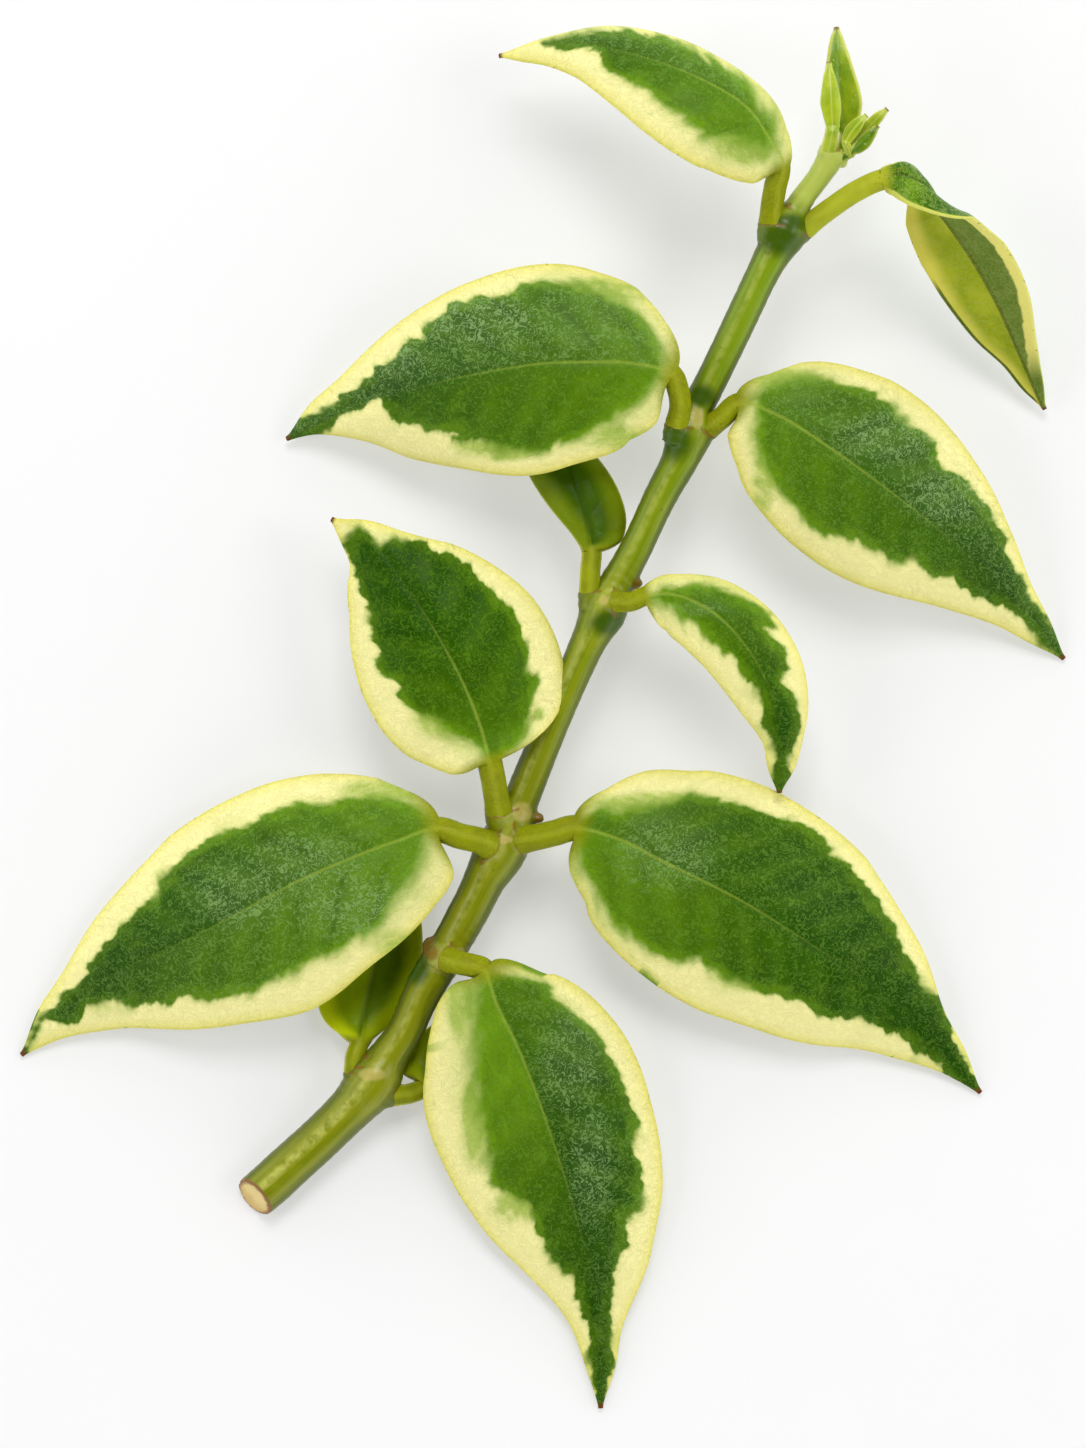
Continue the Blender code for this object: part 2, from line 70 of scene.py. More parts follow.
# Centre line of the stem from the cut end to the bud: x, y, z and the stem's radius there
STEM_LINE = (
    (-36, -59, 2.6, 2.75), (-34, -57.3, 2.6, 2.82), (-31.4, -54.9, 2.6, 2.8),
    (-28.3, -52.1, 2.8, 2.78), (-25, -48.9, 3.2, 2.8), (-23.1, -46.9, 3.6, 3),
    (-21.6, -45.1, 4, 3.4), (-20.4, -43.3, 4.3, 3.2), (-19.3, -41.4, 4.5, 2.5),
    (-17.1, -38.1, 5, 2.25), (-15.6, -34.7, 5.4, 2.3), (-14.5, -32.4, 5.6, 2.45),
    (-12.8, -29.6, 6, 2.5), (-11.5, -27.4, 6.3, 2.4), (-9.5, -23.8, 6.8, 2.5),
    (-8.2, -21.3, 7.1, 2.52), (-7.2, -19.2, 7.4, 2.65), (-6.2, -17.4, 7.6, 3),
    (-5.3, -15.8, 7.8, 3.2), (-4.5, -14.2, 8, 3.1), (-3.7, -12.4, 8.3, 2.8), (-3, -10.3, 8.5, 2.3),
    (-1.7, -6.9, 8.9, 2.2), (2.3, 2.7, 9.8, 2.05), (5.7, 10.4, 10.6, 2.25), (6.4, 11.8, 10.8, 2.5),
    (7.3, 13.6, 10.9, 2.9), (7.9, 15, 11.1, 2.8), (8.7, 16.6, 11.3, 2.3), (11.4, 21.5, 11.7, 2),
    (14.3, 27.7, 12.3, 2.05), (16.8, 32.4, 12.8, 2.3), (17.4, 34, 13, 2.6),
    (17.9, 35.6, 13.1, 2.95), (18.3, 37.2, 13.2, 2.75), (18.8, 38.8, 13.4, 2.15),
    (19.8, 40.5, 13.6, 2), (22, 44.9, 14, 1.97), (24.2, 49.5, 14.4, 2), (27.1, 55.6, 15, 2.05),
    (28.5, 58.2, 15.2, 2.35), (29.1, 59.3, 15.3, 2.7), (29.6, 60.4, 15.4, 2.95),
    (30.2, 61.7, 15.6, 2.6), (31, 63, 15.8, 1.7), (31.7, 64.2, 16, 1.5), (33.5, 66.6, 16.4, 1.45),
    (34.7, 68.4, 16.8, 1.6), (35.2, 69.5, 17, 1.75), (35.4, 70.4, 17.1, 1.65),
)

# Shares of a blade's length at which its half-widths are given
WIDTHS_AT = (0.04, 0.12, 0.25, 0.4, 0.56, 0.7, 0.82, 0.92)

# One row for each leaf. The petiole runs from the stem to the base of the blade, and the midrib from
# there to the tip. Left and right are the half-widths of the two sides at WIDTHS_AT, and lobes the
# lengths that they reach back behind the base. Cup is the angle in radians that each half curves down
# by, and roll is in degrees at even steps along the blade, left side up. Lobes and roll are 0 where
# a row has none.
LEAVES = {
    "leaf_1_left": dict(
        petiole=((-23.4, -42.9, 4.4), (-23.4, -41.5, 4.5)),
        midrib=((-22.9, -39.9, 4), (-22.2, -36.2, 2.9), (-21.1, -31.3, 2.5), (-19.8, -25, 2.4),
                (-18.8, -18.5, 1.6), (-18.5, -13.9, 0.8)),
        left=(2.7, 5.5, 7.1, 6.8, 5.8, 4.4, 2.9, 1.4), right=(1.2, 3.2, 5.2, 5.7, 5.1, 4, 2.7, 1.3),
        radius=1.2, cup=0.45),
    "leaf_1_right": dict(
        petiole=((-18.3, -46.1, 4.2), (-16.8, -46, 3.9)),
        midrib=((-14.9, -45.3, 3.2), (-12.2, -42.9, 2.4), (-8.5, -40.6, 2.2), (-3.5, -39.4, 2.2),
                (2.1, -39.2, 1.6), (6.9, -40.5, 0.8)),
        left=(3, 4.9, 5.4, 5.1, 4.3, 3.2, 2.1, 1), right=(2.8, 4.1, 5, 5.3, 5, 3.9, 2.7, 1.3),
        lobes=(1.9, 0.1), radius=1.25, cup=0.45),
    "leaf_2_right": dict(
        petiole=((-11.5, -29.2, 8.9), (-10.1, -29.5, 10.1), (-8.6, -29.8, 10.4)),
        midrib=((-7.3, -30.3, 10.3), (-5.7, -34.5, 10.6), (-2.8, -40.6, 10), (0.9, -50.6, 8.2),
                (4.6, -62.8, 5.4), (6.6, -71.7, 3), (7.2, -85.4, 0.5)),
        left=(5.5, 9.8, 13.2, 13.6, 12, 8, 3.3, 1.9), right=(5.4, 10.8, 14.3, 14.4, 12.1, 7.6, 3.6, 1.6),
        lobes=(0.9, 1.3), radius=1.45, cup=0.5),
    "leaf_3_left": dict(
        petiole=((-6.8, -14.8, 10.4), (-8, -14.3, 11.3), (-10.2, -13.8, 11.6)),
        midrib=((-12.9, -13, 11.4), (-17.6, -14.3, 11.8), (-23.5, -16.5, 11.9), (-29.9, -19.3, 11.3),
                (-42.4, -26, 8.4), (-55.1, -32.2, 3.8), (-65.1, -41.3, 0.5)),
        left=(6.2, 10.5, 13.4, 15, 12, 9, 5.7, 2), right=(5.8, 10.4, 13.4, 14.4, 13.4, 9.2, 4.4, 2.6),
        lobes=(2.8, 0), radius=1.6, cup=0.5, roll=(8, 10, 6)),
    "leaf_3_right": dict(
        petiole=((-2.3, -14.2, 9.9), (-0.6, -13.9, 10.8), (1.5, -13.4, 11.2)),
        midrib=((3.9, -12.8, 11.2), (9.5, -14.2, 11.7), (14.4, -16.7, 12), (24.3, -21.7, 11.4),
                (34.2, -27.9, 8.8), (44.4, -34.5, 4.6), (54.6, -46, 0.5)),
        left=(5.1, 10.9, 14, 14.4, 12.8, 8.2, 3.4, 1.9), right=(5.6, 10.6, 14.3, 15, 12.8, 10, 6.3, 2.2),
        lobes=(0.1, 2), radius=1.62, cup=0.5),
    "leaf_3_up": dict(
        petiole=((-5.5, -10.4, 10.3), (-5.8, -8.7, 11.1), (-6.1, -6.9, 12.2)),
        midrib=((-6.6, -4.4, 13.3), (-7.7, -0.2, 14.2), (-9.8, 5, 14.6), (-12.6, 10.3, 14.5),
                (-17.6, 18.2, 13.6), (-21, 22.5, 12.8), (-26, 25.2, 11.8)),
        left=(4.9, 9.6, 11.9, 12.2, 10.8, 7.9, 5.2, 2.8), right=(6.7, 11.5, 13.1, 13, 10.9, 7.4, 3.2, 1.4),
        lobes=(2.6, 0), radius=1.55, cup=0.5),
    "leaf_4_left": dict(
        petiole=((5.8, 16.6, 11.9), (5.8, 18.7, 12)),
        midrib=((6, 21.2, 11.7), (5.5, 25.1, 11.2), (3.8, 30.1, 10.4), (0.6, 35.7, 8.8), (-3.8, 42, 6)),
        left=(0.9, 2.2, 3.7, 4.6, 4.7, 4, 2.7, 1.4), right=(3.4, 4.6, 4.8, 4.2, 2.9, 1.6, 0.6, 0.1),
        lobes=(0.4, 0.1), radius=1.25, cup=0.4),
    "leaf_4_right": dict(
        petiole=((9.1, 15, 13.3), (10.8, 15, 13.9)),
        midrib=((12.6, 15.7, 14.3), (15.8, 15.9, 15.3), (20.7, 13.7, 16.8), (25.3, 8.8, 17.2),
                (28, 3.5, 16), (29.3, -2, 13.8), (29.1, -8.4, 10.8)),
        left=(1.6, 3.1, 4.8, 5.8, 5.6, 4.5, 2.8, 1.7), right=(3.8, 5.4, 6.1, 6.2, 5.7, 4.3, 2.5, 1.7),
        lobes=(0, 0.3), radius=1.2, cup=0.8),
    "leaf_5_left": dict(
        petiole=((16.5, 37, 15.2), (16.8, 38.9, 15.9), (16.5, 40.8, 16.9)),
        midrib=((15.6, 42.7, 17.8), (10.6, 44, 18.7), (5.5, 44.1, 18.8), (-0.4, 43.9, 18.2),
                (-11.4, 42.2, 14.2), (-20.1, 40, 8.8), (-31.9, 35.6, 1.5)),
        left=(6.4, 10.3, 12.9, 13.7, 11.6, 8.8, 4, 1), right=(5.6, 10.4, 12.7, 12.5, 10.6, 7.8, 4.7, 2.9),
        lobes=(2.2, 0), radius=1.35, cup=0.5),
    "leaf_5_right": dict(
        petiole=((20.7, 36.7, 14), (21.9, 37.5, 15)),
        midrib=((24, 39.2, 15.8), (28.6, 37.8, 16.4), (36.3, 32.9, 16.2), (43.8, 27.6, 13.6),
                (51.5, 21.7, 9.6), (59.2, 14.4, 4.4), (65, 8.2, 0.5)),
        left=(4, 8.9, 11.6, 11.7, 9.5, 6.1, 3.2, 1.7), right=(4.6, 9.5, 12.3, 12.7, 10.6, 7.2, 3.9, 1.9),
        lobes=(0, 2.5), radius=1.35, cup=0.5),
    "leaf_6_left": dict(
        petiole=((27.9, 61.5, 16.7), (28, 63.4, 17.1), (28.3, 65.4, 18.2)),
        midrib=((28.7, 67.9, 20.2), (27.4, 70.9, 21.8), (24.5, 74.7, 22.8), (19, 78, 23),
                (11.8, 80.9, 21.2), (4.5, 82.8, 17.6), (0.2, 83.1, 14.8), (-5.3, 82.2, 11.5)),
        left=(4.1, 7.8, 9.7, 9.1, 6.8, 4.4, 2.9, 1.6), right=(2, 3.8, 5, 5.5, 5.3, 4.6, 1.9, 0.8),
        lobes=(2.2, 0), radius=1.4, cup=0.6, roll=(20, 25, 25, 30, 35)),
    "leaf_6_right": dict(
        petiole=((32.4, 61, 15.5), (34.9, 62.8, 17.2), (38.2, 64.9, 19.4)),
        midrib=((41.4, 66.2, 20.8), (43.9, 66.3, 21), (46.3, 65.3, 20.2), (49.4, 62, 17.8),
                (52.7, 57.6, 14.6), (56.3, 51.9, 10.6), (59.4, 45.9, 6.2), (62.5, 39.3, 1.8)),
        left=(1.4, 4.6, 6.3, 6.5, 6.1, 5, 2.9, 1.7), right=(2, 4.2, 5.4, 5.6, 4.9, 3.4, 2.1, 1.2),
        lobes=(0.9, 0.8), radius=1.3, cup=0.45, roll=(-5, -60, -120, -140, -145, -145, -145, -145, -140)),
    "tip_leaf_back": dict(
        petiole=((36.7, 70.6, 16.1),),
        midrib=((36.9, 72.3, 17), (36.5, 74.9, 17.8), (36.2, 78.3, 18.2), (36, 81.7, 18.4),
                (35.8, 85, 18)),
        left=(0.8, 1.7, 2.2, 2.15, 1.85, 1.45, 1.1, 0.65), right=(0.9, 2, 2.55, 2.45, 1.95, 1.45, 0.95, 0.55),
        radius=0.7, cup=-0.5),
    "tip_leaf_front": dict(
        petiole=((34.9, 70.5, 18.5),),
        midrib=((35.2, 72.3, 19.6), (35.1, 74.3, 20.3), (35, 76.5, 20.6), (34.8, 80.5, 20.2)),
        left=(0.1, 0.6, 1, 1.3, 1.15, 0.9, 0.65, 0.3), right=(0.35, 0.7, 1.05, 1.15, 1, 0.75, 0.4, 0.1),
        radius=0.85, cup=0.9),
}

# Leaflets of the side shoot, in the same form
SIDE_LEAFLETS = {
    "side_leaf_low": dict(
        petiole=((37.3, 69.5, 18),),
        midrib=((37.9, 69.9, 18.2), (38.9, 70.6, 18.6), (39.9, 71.7, 18.8), (40.8, 72.9, 19)),
        left=(0.3, 0.5, 0.7, 0.8, 0.75, 0.6, 0.4, 0.2), right=(0.3, 0.5, 0.65, 0.7, 0.6, 0.45, 0.3, 0.15),
        radius=0.5, cup=0.7),
    "side_leaf_mid": dict(
        petiole=((37.6, 70.1, 18.1),),
        midrib=((38.3, 71, 18), (39.4, 72.4, 17.9), (40.6, 73.7, 18.1), (42, 75, 18.4)),
        left=(0.2, 0.4, 0.6, 0.7, 0.7, 0.6, 0.45, 0.2), right=(0.2, 0.4, 0.6, 0.7, 0.65, 0.55, 0.4, 0.2),
        radius=0.5, cup=0.7),
    "side_leaf_high": dict(
        petiole=((37.2, 70.1, 18.4),),
        midrib=((36.9, 70.8, 18.9), (37.5, 72, 19.3), (38.5, 73.2, 19.6), (39.4, 74.1, 19.7)),
        left=(0.3, 0.55, 0.75, 0.85, 0.8, 0.65, 0.45, 0.2), right=(0.3, 0.5, 0.65, 0.7, 0.65, 0.5, 0.3, 0.15),
        radius=0.5, cup=0.7),
}

# Side buds and scars on the stem: centre and half-sizes
STEM_BUDS = (
    ((11.5, 17.3, 12), (0.8, 0.7, 0.7)),
    ((-0.6, -11.6, 9.2), (0.8, 0.7, 0.7)),
    ((-13.9, -27.6, 6.6), (1.1, 1.3, 1.2)),
    ((30.1, 63, 17), (0.5, 0.6, 0.5)),
)

# Outline of the green area of each variegated leaf, as the camera sees it, measured in the plane of the
# surface: x and y
GREEN_AREAS = {
    "leaf_2_right": (
        (-8.1, -30.2), (-0.8, -31.8), (0.6, -32.6), (1.2, -33.9), (3.4, -35.1), (5.2, -37), (7.1, -39.1),
        (8.6, -41.4), (9.6, -43.9), (10.6, -45.8), (11.5, -48.2), (11.8, -50.8), (11.5, -52.6),
        (12.1, -55.1), (12.4, -57.6), (12.1, -60.1), (10.5, -61.4), (10.2, -64.5), (9.9, -66.4),
        (9, -68.9), (8.8, -72), (8.4, -75.8), (8.4, -81), (8.4, -87), (6.4, -87), (5.9, -80.1),
        (5.9, -77), (4.6, -73.2), (4, -70.8), (3.4, -68.9), (2.1, -68.2), (0.2, -66.4), (-0.4, -63.9),
        (-1.6, -61.4), (-2.9, -59.1), (-5.4, -58.6), (-6.4, -57), (-7, -55.1), (-7.5, -52),
        (-7.9, -49.5), (-8.9, -47), (-8.9, -44.5), (-8.9, -39.5), (-8.9, -34.5)),
    "leaf_3_left": (
        (-11.4, -13.5), (-16.6, -9.5), (-20.4, -9), (-24.5, -9.1), (-26.6, -9.9), (-30.4, -10.1),
        (-34.8, -11.4), (-37.9, -13), (-41, -13.9), (-42.9, -15.1), (-45.4, -17.2), (-47.9, -19.5),
        (-49.1, -22), (-51.6, -23.9), (-53.5, -25.8), (-56, -28.9), (-57.2, -30.8), (-58.5, -33.2),
        (-60.4, -34.5), (-62.9, -36.4), (-64.1, -38.9), (-66.5, -42), (-65, -43), (-62.2, -37),
        (-59.8, -37.9), (-57.9, -36.4), (-57.2, -35.1), (-54.1, -34.5), (-51.4, -35.2), (-47.9, -34.9),
        (-45.4, -33.9), (-42.9, -34.1), (-36.6, -33.6), (-34.1, -32.6), (-31.6, -31.4), (-29.8, -30.1),
        (-26.6, -28.9), (-24.1, -27.6), (-19.8, -25.1), (-17.9, -22), (-14.8, -17), (-14.1, -14.5)),
    "leaf_3_right": (
        (2.1, -13.2), (7.1, -10.1), (9.6, -10.8), (12.1, -10.2), (15.9, -9.2), (18.4, -8.2),
        (19.6, -8.9), (23.4, -9.5), (25.9, -10.5), (28.4, -11), (32.1, -12.4), (34, -13.9),
        (36.5, -16.4), (38.4, -17.6), (40.2, -20.1), (42.1, -22.6), (43.4, -25.1), (44.6, -27),
        (45.2, -28.9), (46.5, -30.8), (47.8, -33.2), (49.6, -34.5), (50.2, -37), (51.5, -38.9),
        (52.8, -41.4), (56, -46.5), (54.5, -48), (49.6, -42.6), (47.1, -41.4), (45.9, -39.5),
        (42.1, -38.2), (39.6, -37), (37.1, -37), (34.6, -36.4), (32.1, -34.9), (29.6, -33.9),
        (27.1, -33.2), (24.6, -32.6), (22.1, -31.4), (19.6, -29.5), (17.1, -30.1), (14.6, -28.9),
        (12.1, -27.6), (8.4, -25.1), (7.1, -22.6), (5.9, -20.1), (4.4, -18.2), (4, -15.1)),
    "leaf_3_up": (
        (-6.5, -6), (-4.8, -3.5), (-3.5, -3), (-2, -1.4), (-1.2, 1.1), (-0.8, 3.6), (-0.4, 5.5),
        (-1.6, 6.8), (-1.6, 8.6), (-2.2, 10.5), (-2.9, 12.4), (-4.1, 14.2), (-5.8, 15.5), (-6.6, 16.8),
        (-7.9, 18), (-9.1, 19.9), (-10.4, 20.8), (-12.9, 21.8), (-15.4, 22.8), (-18.5, 23.6),
        (-20.4, 23), (-22.9, 24.5), (-24.9, 22.4), (-24.1, 20.5), (-23.5, 18.6), (-22.9, 16.1),
        (-21.9, 13.6), (-21.4, 10.5), (-20.6, 8.6), (-21, 7.4), (-20.4, 6.1), (-18.5, 5.5), (-17.9, 3.6),
        (-16.6, 1.8), (-15.4, 0.8), (-12.9, -0.1), (-11.6, -1.4), (-9.1, -2.6), (-7.9, -3.9)),
    "leaf_4_right": (
        (12.1, 15.8), (14, 16.5), (14.6, 17.4), (17.1, 17.1), (19.6, 17.5), (21.5, 17.6), (23.4, 16.8),
        (25.2, 15.8), (26.5, 14.9), (28.4, 13.6), (29.4, 11.8), (27.8, 12), (30.2, 9.2), (30.9, 7),
        (30, 5.5), (31.8, 3), (32, 0.5), (31.8, -2.6), (30.9, -5.1), (30.4, -9.5), (29, -9.5),
        (28.5, -3), (28.4, -2), (27.5, 0.5), (27.1, 2.4), (26.5, 4.2), (25.2, 5.5), (24, 7.4),
        (22.8, 8.6), (20.9, 10.5), (19.6, 12.1), (17.8, 13), (16.1, 14.6), (14.6, 15.1), (13.1, 15.5)),
    "leaf_5_left": (
        (16.1, 42.2), (14.6, 47.4), (13.4, 49.9), (12.1, 51.8), (9.6, 53), (8.4, 53.6), (7.1, 54.6),
        (3.4, 55.4), (0.2, 55.1), (-2.9, 54.9), (-3.5, 53.9), (-7.9, 53.4), (-9.8, 52.6), (-11.6, 52.4),
        (-12.9, 51.1), (-14.1, 49.9), (-15.4, 48.6), (-17.2, 48), (-17.5, 46.8), (-19.1, 45.8),
        (-21, 44.5), (-21.6, 43.2), (-24.1, 41.8), (-26.6, 39.9), (-29.1, 39), (-33.2, 36.4),
        (-32.6, 34.6), (-26.6, 36.8), (-25.4, 38.2), (-22.9, 39.2), (-20.4, 40.5), (-19.4, 39.2),
        (-19.1, 38), (-15.4, 37.4), (-14.1, 36.8), (-10.4, 36.5), (-11, 35.5), (-6.2, 34.5), (-5.4, 34),
        (-2.2, 33.6), (0.9, 34), (2.1, 34.9), (4.6, 35.5), (7.1, 36.8), (9, 37.4), (9.6, 38.6),
        (12.1, 39.9), (14.6, 42.4)),
    "leaf_5_right": (
        (23.5, 40), (26.5, 41.5), (27.8, 42.4), (29.6, 43), (32.1, 43.5), (35.9, 43.4), (37.8, 42.6),
        (39.6, 41.8), (42.1, 41.1), (44, 40.1), (44.6, 38.6), (47.1, 36.8), (49, 35.1), (49.6, 33),
        (52.1, 31.1), (53.4, 29.2), (54.6, 28), (55.9, 26.1), (57.1, 24.2), (57.8, 21.8), (59, 19.9),
        (60.2, 18), (60.9, 16.1), (62.1, 14.2), (66.4, 8.2), (65, 6.8), (62.1, 10.5), (59.6, 13),
        (57.1, 14.9), (55.2, 15.2), (53.4, 16.5), (50.9, 18), (49, 18.4), (46.5, 19.9), (44.6, 20.5),
        (43.4, 20.1), (40.9, 21.8), (38.4, 23), (35.2, 23.6), (33.4, 24.9), (32.1, 26.8), (29.6, 28.6),
        (28.4, 31.1), (27.1, 33), (26.5, 35.5), (26.8, 38), (26.5, 39.9)),
    "leaf_6_left": (
        (29.4, 68.5), (29.1, 69.9), (29.2, 71.8), (27.8, 70.8), (25.9, 71.8), (24, 72.6), (22.1, 73),
        (20.2, 73.1), (19.6, 73.9), (18.4, 74.9), (17.1, 75.9), (15.2, 76.5), (14.6, 77.8), (13.4, 78.6),
        (12.1, 79.9), (9.6, 80.5), (8.4, 81.5), (7.5, 82.4), (7.1, 83.6), (5.2, 84), (3.4, 84.2),
        (2.1, 84.8), (0.2, 85), (5.9, 86.9), (12.1, 86.6), (17.1, 85.2), (19.6, 84.1), (21.1, 83.4),
        (24.6, 80.9), (26.5, 79), (27.4, 77.5), (28.4, 76.5), (29, 74.6), (29.2, 72.4), (29.1, 70.5)),
}

# How pale the green is on each half of a blade, left and right, at even steps from the base to the tip
PALENESS = {
    "leaf_1_left": ((1, 1), (0.3, 0.3)),
    "leaf_1_right": ((0.3, 0.3), (0.5, 0.5)),
    "leaf_2_right": ((0.5, 0.1, 0, 0, 0), (0.95, 0.75, 0.2, 0, 0)),
    "leaf_3_left": ((0.8, 0.5, 0.3, 0.05, 0), (0.7, 0.3, 0.05, 0, 0)),
    "leaf_3_right": ((0.5, 0.15, 0, 0, 0), (0.75, 0.4, 0.05, 0, 0)),
    "leaf_3_up": ((0.6, 0.2, 0, 0, 0), (0.5, 0.15, 0, 0, 0)),
    "leaf_4_right": ((0.6, 0.35, 0.15, 0, 0), (0.6, 0.4, 0.2, 0, 0)),
    "leaf_5_left": ((0.8, 0.4, 0.2, 0, 0), (0.7, 0.3, 0.1, 0, 0)),
    "leaf_5_right": ((0.6, 0.2, 0.1, 0, 0), (0.6, 0.35, 0.2, 0.05, 0)),
    "leaf_6_left": ((0.9, 0.6, 0.35, 0.1, 0), (0.8, 0.5, 0.3, 0.15, 0)),
    "tip_leaf_front": ((1, 1), (0.8, 0.8)), "tip_leaf_back": ((0.3, 0), (0.6, 0.5)),
    "side_leaf_high": ((1, 1), (1, 1)), "side_leaf_mid": ((0.8, 0.8), (0.8, 0.8)),
}

# How much painted sheen, a whitish highlight carried mostly by the fine ridges, each half of a blade gets,
# left and right
PAINTED_SHEEN_SIDES = {
    "leaf_2_right": (0.15, 0.05), "leaf_3_left": (0.2, 0.15), "leaf_3_right": (0.1, 0.05),
    "leaf_4_right": (0.1, 0), "leaf_5_left": (0.05, 0.4), "leaf_5_right": (0.3, 0.1),
    "leaf_6_left": (0.1, 0.3), "leaf_6_right": (0.1, 0.3),
}

# Pale green washes in the cream, as the camera sees them in the plane of the surface: x, y, half-sizes
WASHES = (
    ((13.5, -9.8), (6.5, 1.2)), ((24.9, -31.4), (4, 2)), ((-10.5, -34.5), (1.6, 4.5)),
    ((-3.5, -60.5), (3, 1.8)), ((-8.9, -50), (1.3, 5)), ((-17, -27.5), (4.5, 1.6)),
    ((-19, -8), (6, 1.2)), ((10.5, 35.6), (4.5, 1.5)), ((8, 54), (5, 1.6)),
    ((-13, 0.5), (3, 2.2)), ((30.5, 43), (4, 1.3)), ((27.5, 30), (1.3, 3.5)),
    ((25, 72), (3.5, 2)), ((-5.4, 34.2), (5, 1.2)), ((-0.5, 1.2), (0.6, 0.8)),
)
# Painted sheen, a whitish highlight, on the green in spots, in the same way
PAINTED_SHEEN_SPOTS = (
    ((15.3, -16.4), (6, 4)), ((-30, -17.5), (7, 3.5)), ((-38, -21), (6, 4)),
    ((-24, -22.5), (7, 3.5)), ((3.5, -42), (3.5, 6)), ((6, -55), (2.5, 7)),
    ((-8, 50.5), (7, 3)), ((-21, 46), (6, 2.5)), ((43, 36), (6, 3)),
    ((51, 28.5), (5, 3)), ((19, 14.4), (3.2, 0.8)),
)

# Green patches right at the margin: side (1 left, -1 right), from and to along the blade, width
EDGE_PATCHES = {
    "leaf_2_right": ((1, 0, 0.07, 0.7), (-1, 0.1, 0.13, 0.4)),
    "leaf_3_left": ((1, 0.72, 0.74, 0.3), (-1, 0.9, 0.96, 0.4)),
    "leaf_3_right": ((-1, 0.24, 0.3, 0.3), (-1, 0.82, 0.84, 0.25)),
    "leaf_3_up": ((1, 0.7, 0.76, 0.3), (-1, 0.13, 0.15, 0.5)),
}

# Marks on top of the stem, as the camera sees them in the plane of the surface: x, y, half-sizes. The pale
# marks are scars, and one painted sheen at (-4.8, -14.5).
PALE_SCARS_AND_PAINTED_SHEEN = (
    ((19.3, 38.3), (0.8, 1.4)), ((-2.6, -11), (1.2, 1.2)), ((-4.8, -14.5), (1, 0.5)),
    ((-10.4, -28.4), (0.6, 0.5)), ((7.6, 15.5), (0.6, 0.6)), ((-21.4, -43.8), (1.6, 0.8)),
)
# Dark green node heads, and painted shade on the stem beside them
DARK_NODES_AND_PAINTED_SHADE = (
    ((16.6, 35.5), (2, 2.6)), ((19.8, 41), (1.8, 1.4)), ((29.8, 60.6), (2.9, 2.2)),
    ((30.8, 62.6), (2.4, 1.2)), ((8.2, 12.6), (2.4, 1.6)), ((-15.8, -30.6), (1.6, 2)),
)
BROWN_MARKS = (
    ((8.9, 15.6), (0.4, 1)), ((12.6, 17.6), (0.4, 0.4)), ((-7.9, -13.4), (0.6, 0.35)),
    ((-9.9, -16.4), (0.3, 0.3)), ((-0.8, -12), (0.3, 0.6)), ((-13.9, -28.6), (0.8, 1)),
    ((-23.3, -42.9), (1, 0.25)), ((-22.1, -41.6), (0.35, 0.35)), ((14.3, 38.6), (0.3, 0.5)),
    ((36.2, 72.3), (0.3, 0.4)),
)

YOUNG_LEAVES = ("tip_leaf_back", "tip_leaf_front")
PLAIN_LEAVES = ("leaf_1_left", "leaf_1_right", "leaf_4_left")

# The tables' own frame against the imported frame
shift = np.array((0.04, 0.04, 0.0))
# Length along the stem, from the cut, at which the pale young shoot begins
SHOOT_START = 140.5
STEM_VOXEL = 0.26
STEM_SMOOTHING = 5
# How strongly the spots of painted sheen whiten the green
PAINTED_SHEEN_STRENGTH = 0.5
# Distance inside the green for a leaf that has no border
ALL_GREEN = 8
LEAF_GLOSS = 0.06
# The floor's own glow: painted light that lifts the shadows on it
FLOOR_GLOW = 0.395

# The random draws of the leaves' relief start from these seeds
LEAF_SEED = 40
LEAFLET_SEED = 80
# Depths of a blade's relief: the midrib's narrow and broad groove, the ridge under it, the shoulders
# beside it, the side veins, and the swells between them
NARROW_GROOVE = 0.2
BROAD_GROOVE = 0.12
RIDGE = 0.4
SHOULDER = 0.07
VEIN = 0.055
VEIN_SWELL = 0.06
SLOW_SWELL = 0.1
QUICK_SWELL = 0.07
MARGIN_WAVE = 0.07
# Distance between side veins as a share of their spacing along the midrib
VEIN_SLOPE = 0.72
# Depths of the stem's relief: the lengthwise ribs, the cross wrinkles, and the creases round the nodes
STEM_RIB = 0.008
STEM_WRINKLE = 0.018
NODE_CREASE = 0.05

# The floor's half-size and how far it lies below the cutting, in metres
FLOOR_REACH = 2
FLOOR_DROP = 0.00002
# Lamps: place in metres, size in metres and power in watts
LAMPS = {
    "key": ((0.0, 0.68, 1.1), 0.5, 7.5),
    "right": ((0.88, 0.08, 1.0), 0.45, 2.8),
    "left": ((-0.88, 0.05, 1.0), 0.4, 1.9),
}
# The surroundings glow at the sides and are dark overhead: heights from 0 to 1, and strengths
DARK_ABOVE = 0.85
BRIGHT_BELOW = 0.05
OVERHEAD_GLOW = 0.02
SIDE_GLOW = 2.17


def ease(x):
    """A smooth step from 0 at x = 0 to 1 at x = 1."""
    x = np.clip(x, 0, 1)
    return x * x * (3 - 2 * x)


def bell(x, width):
    """A bell curve of height 1 at x = 0."""
    return np.exp(-(x / width) ** 2)


def unit(v):
    return v / np.linalg.norm(v, axis=-1, keepdims=True)


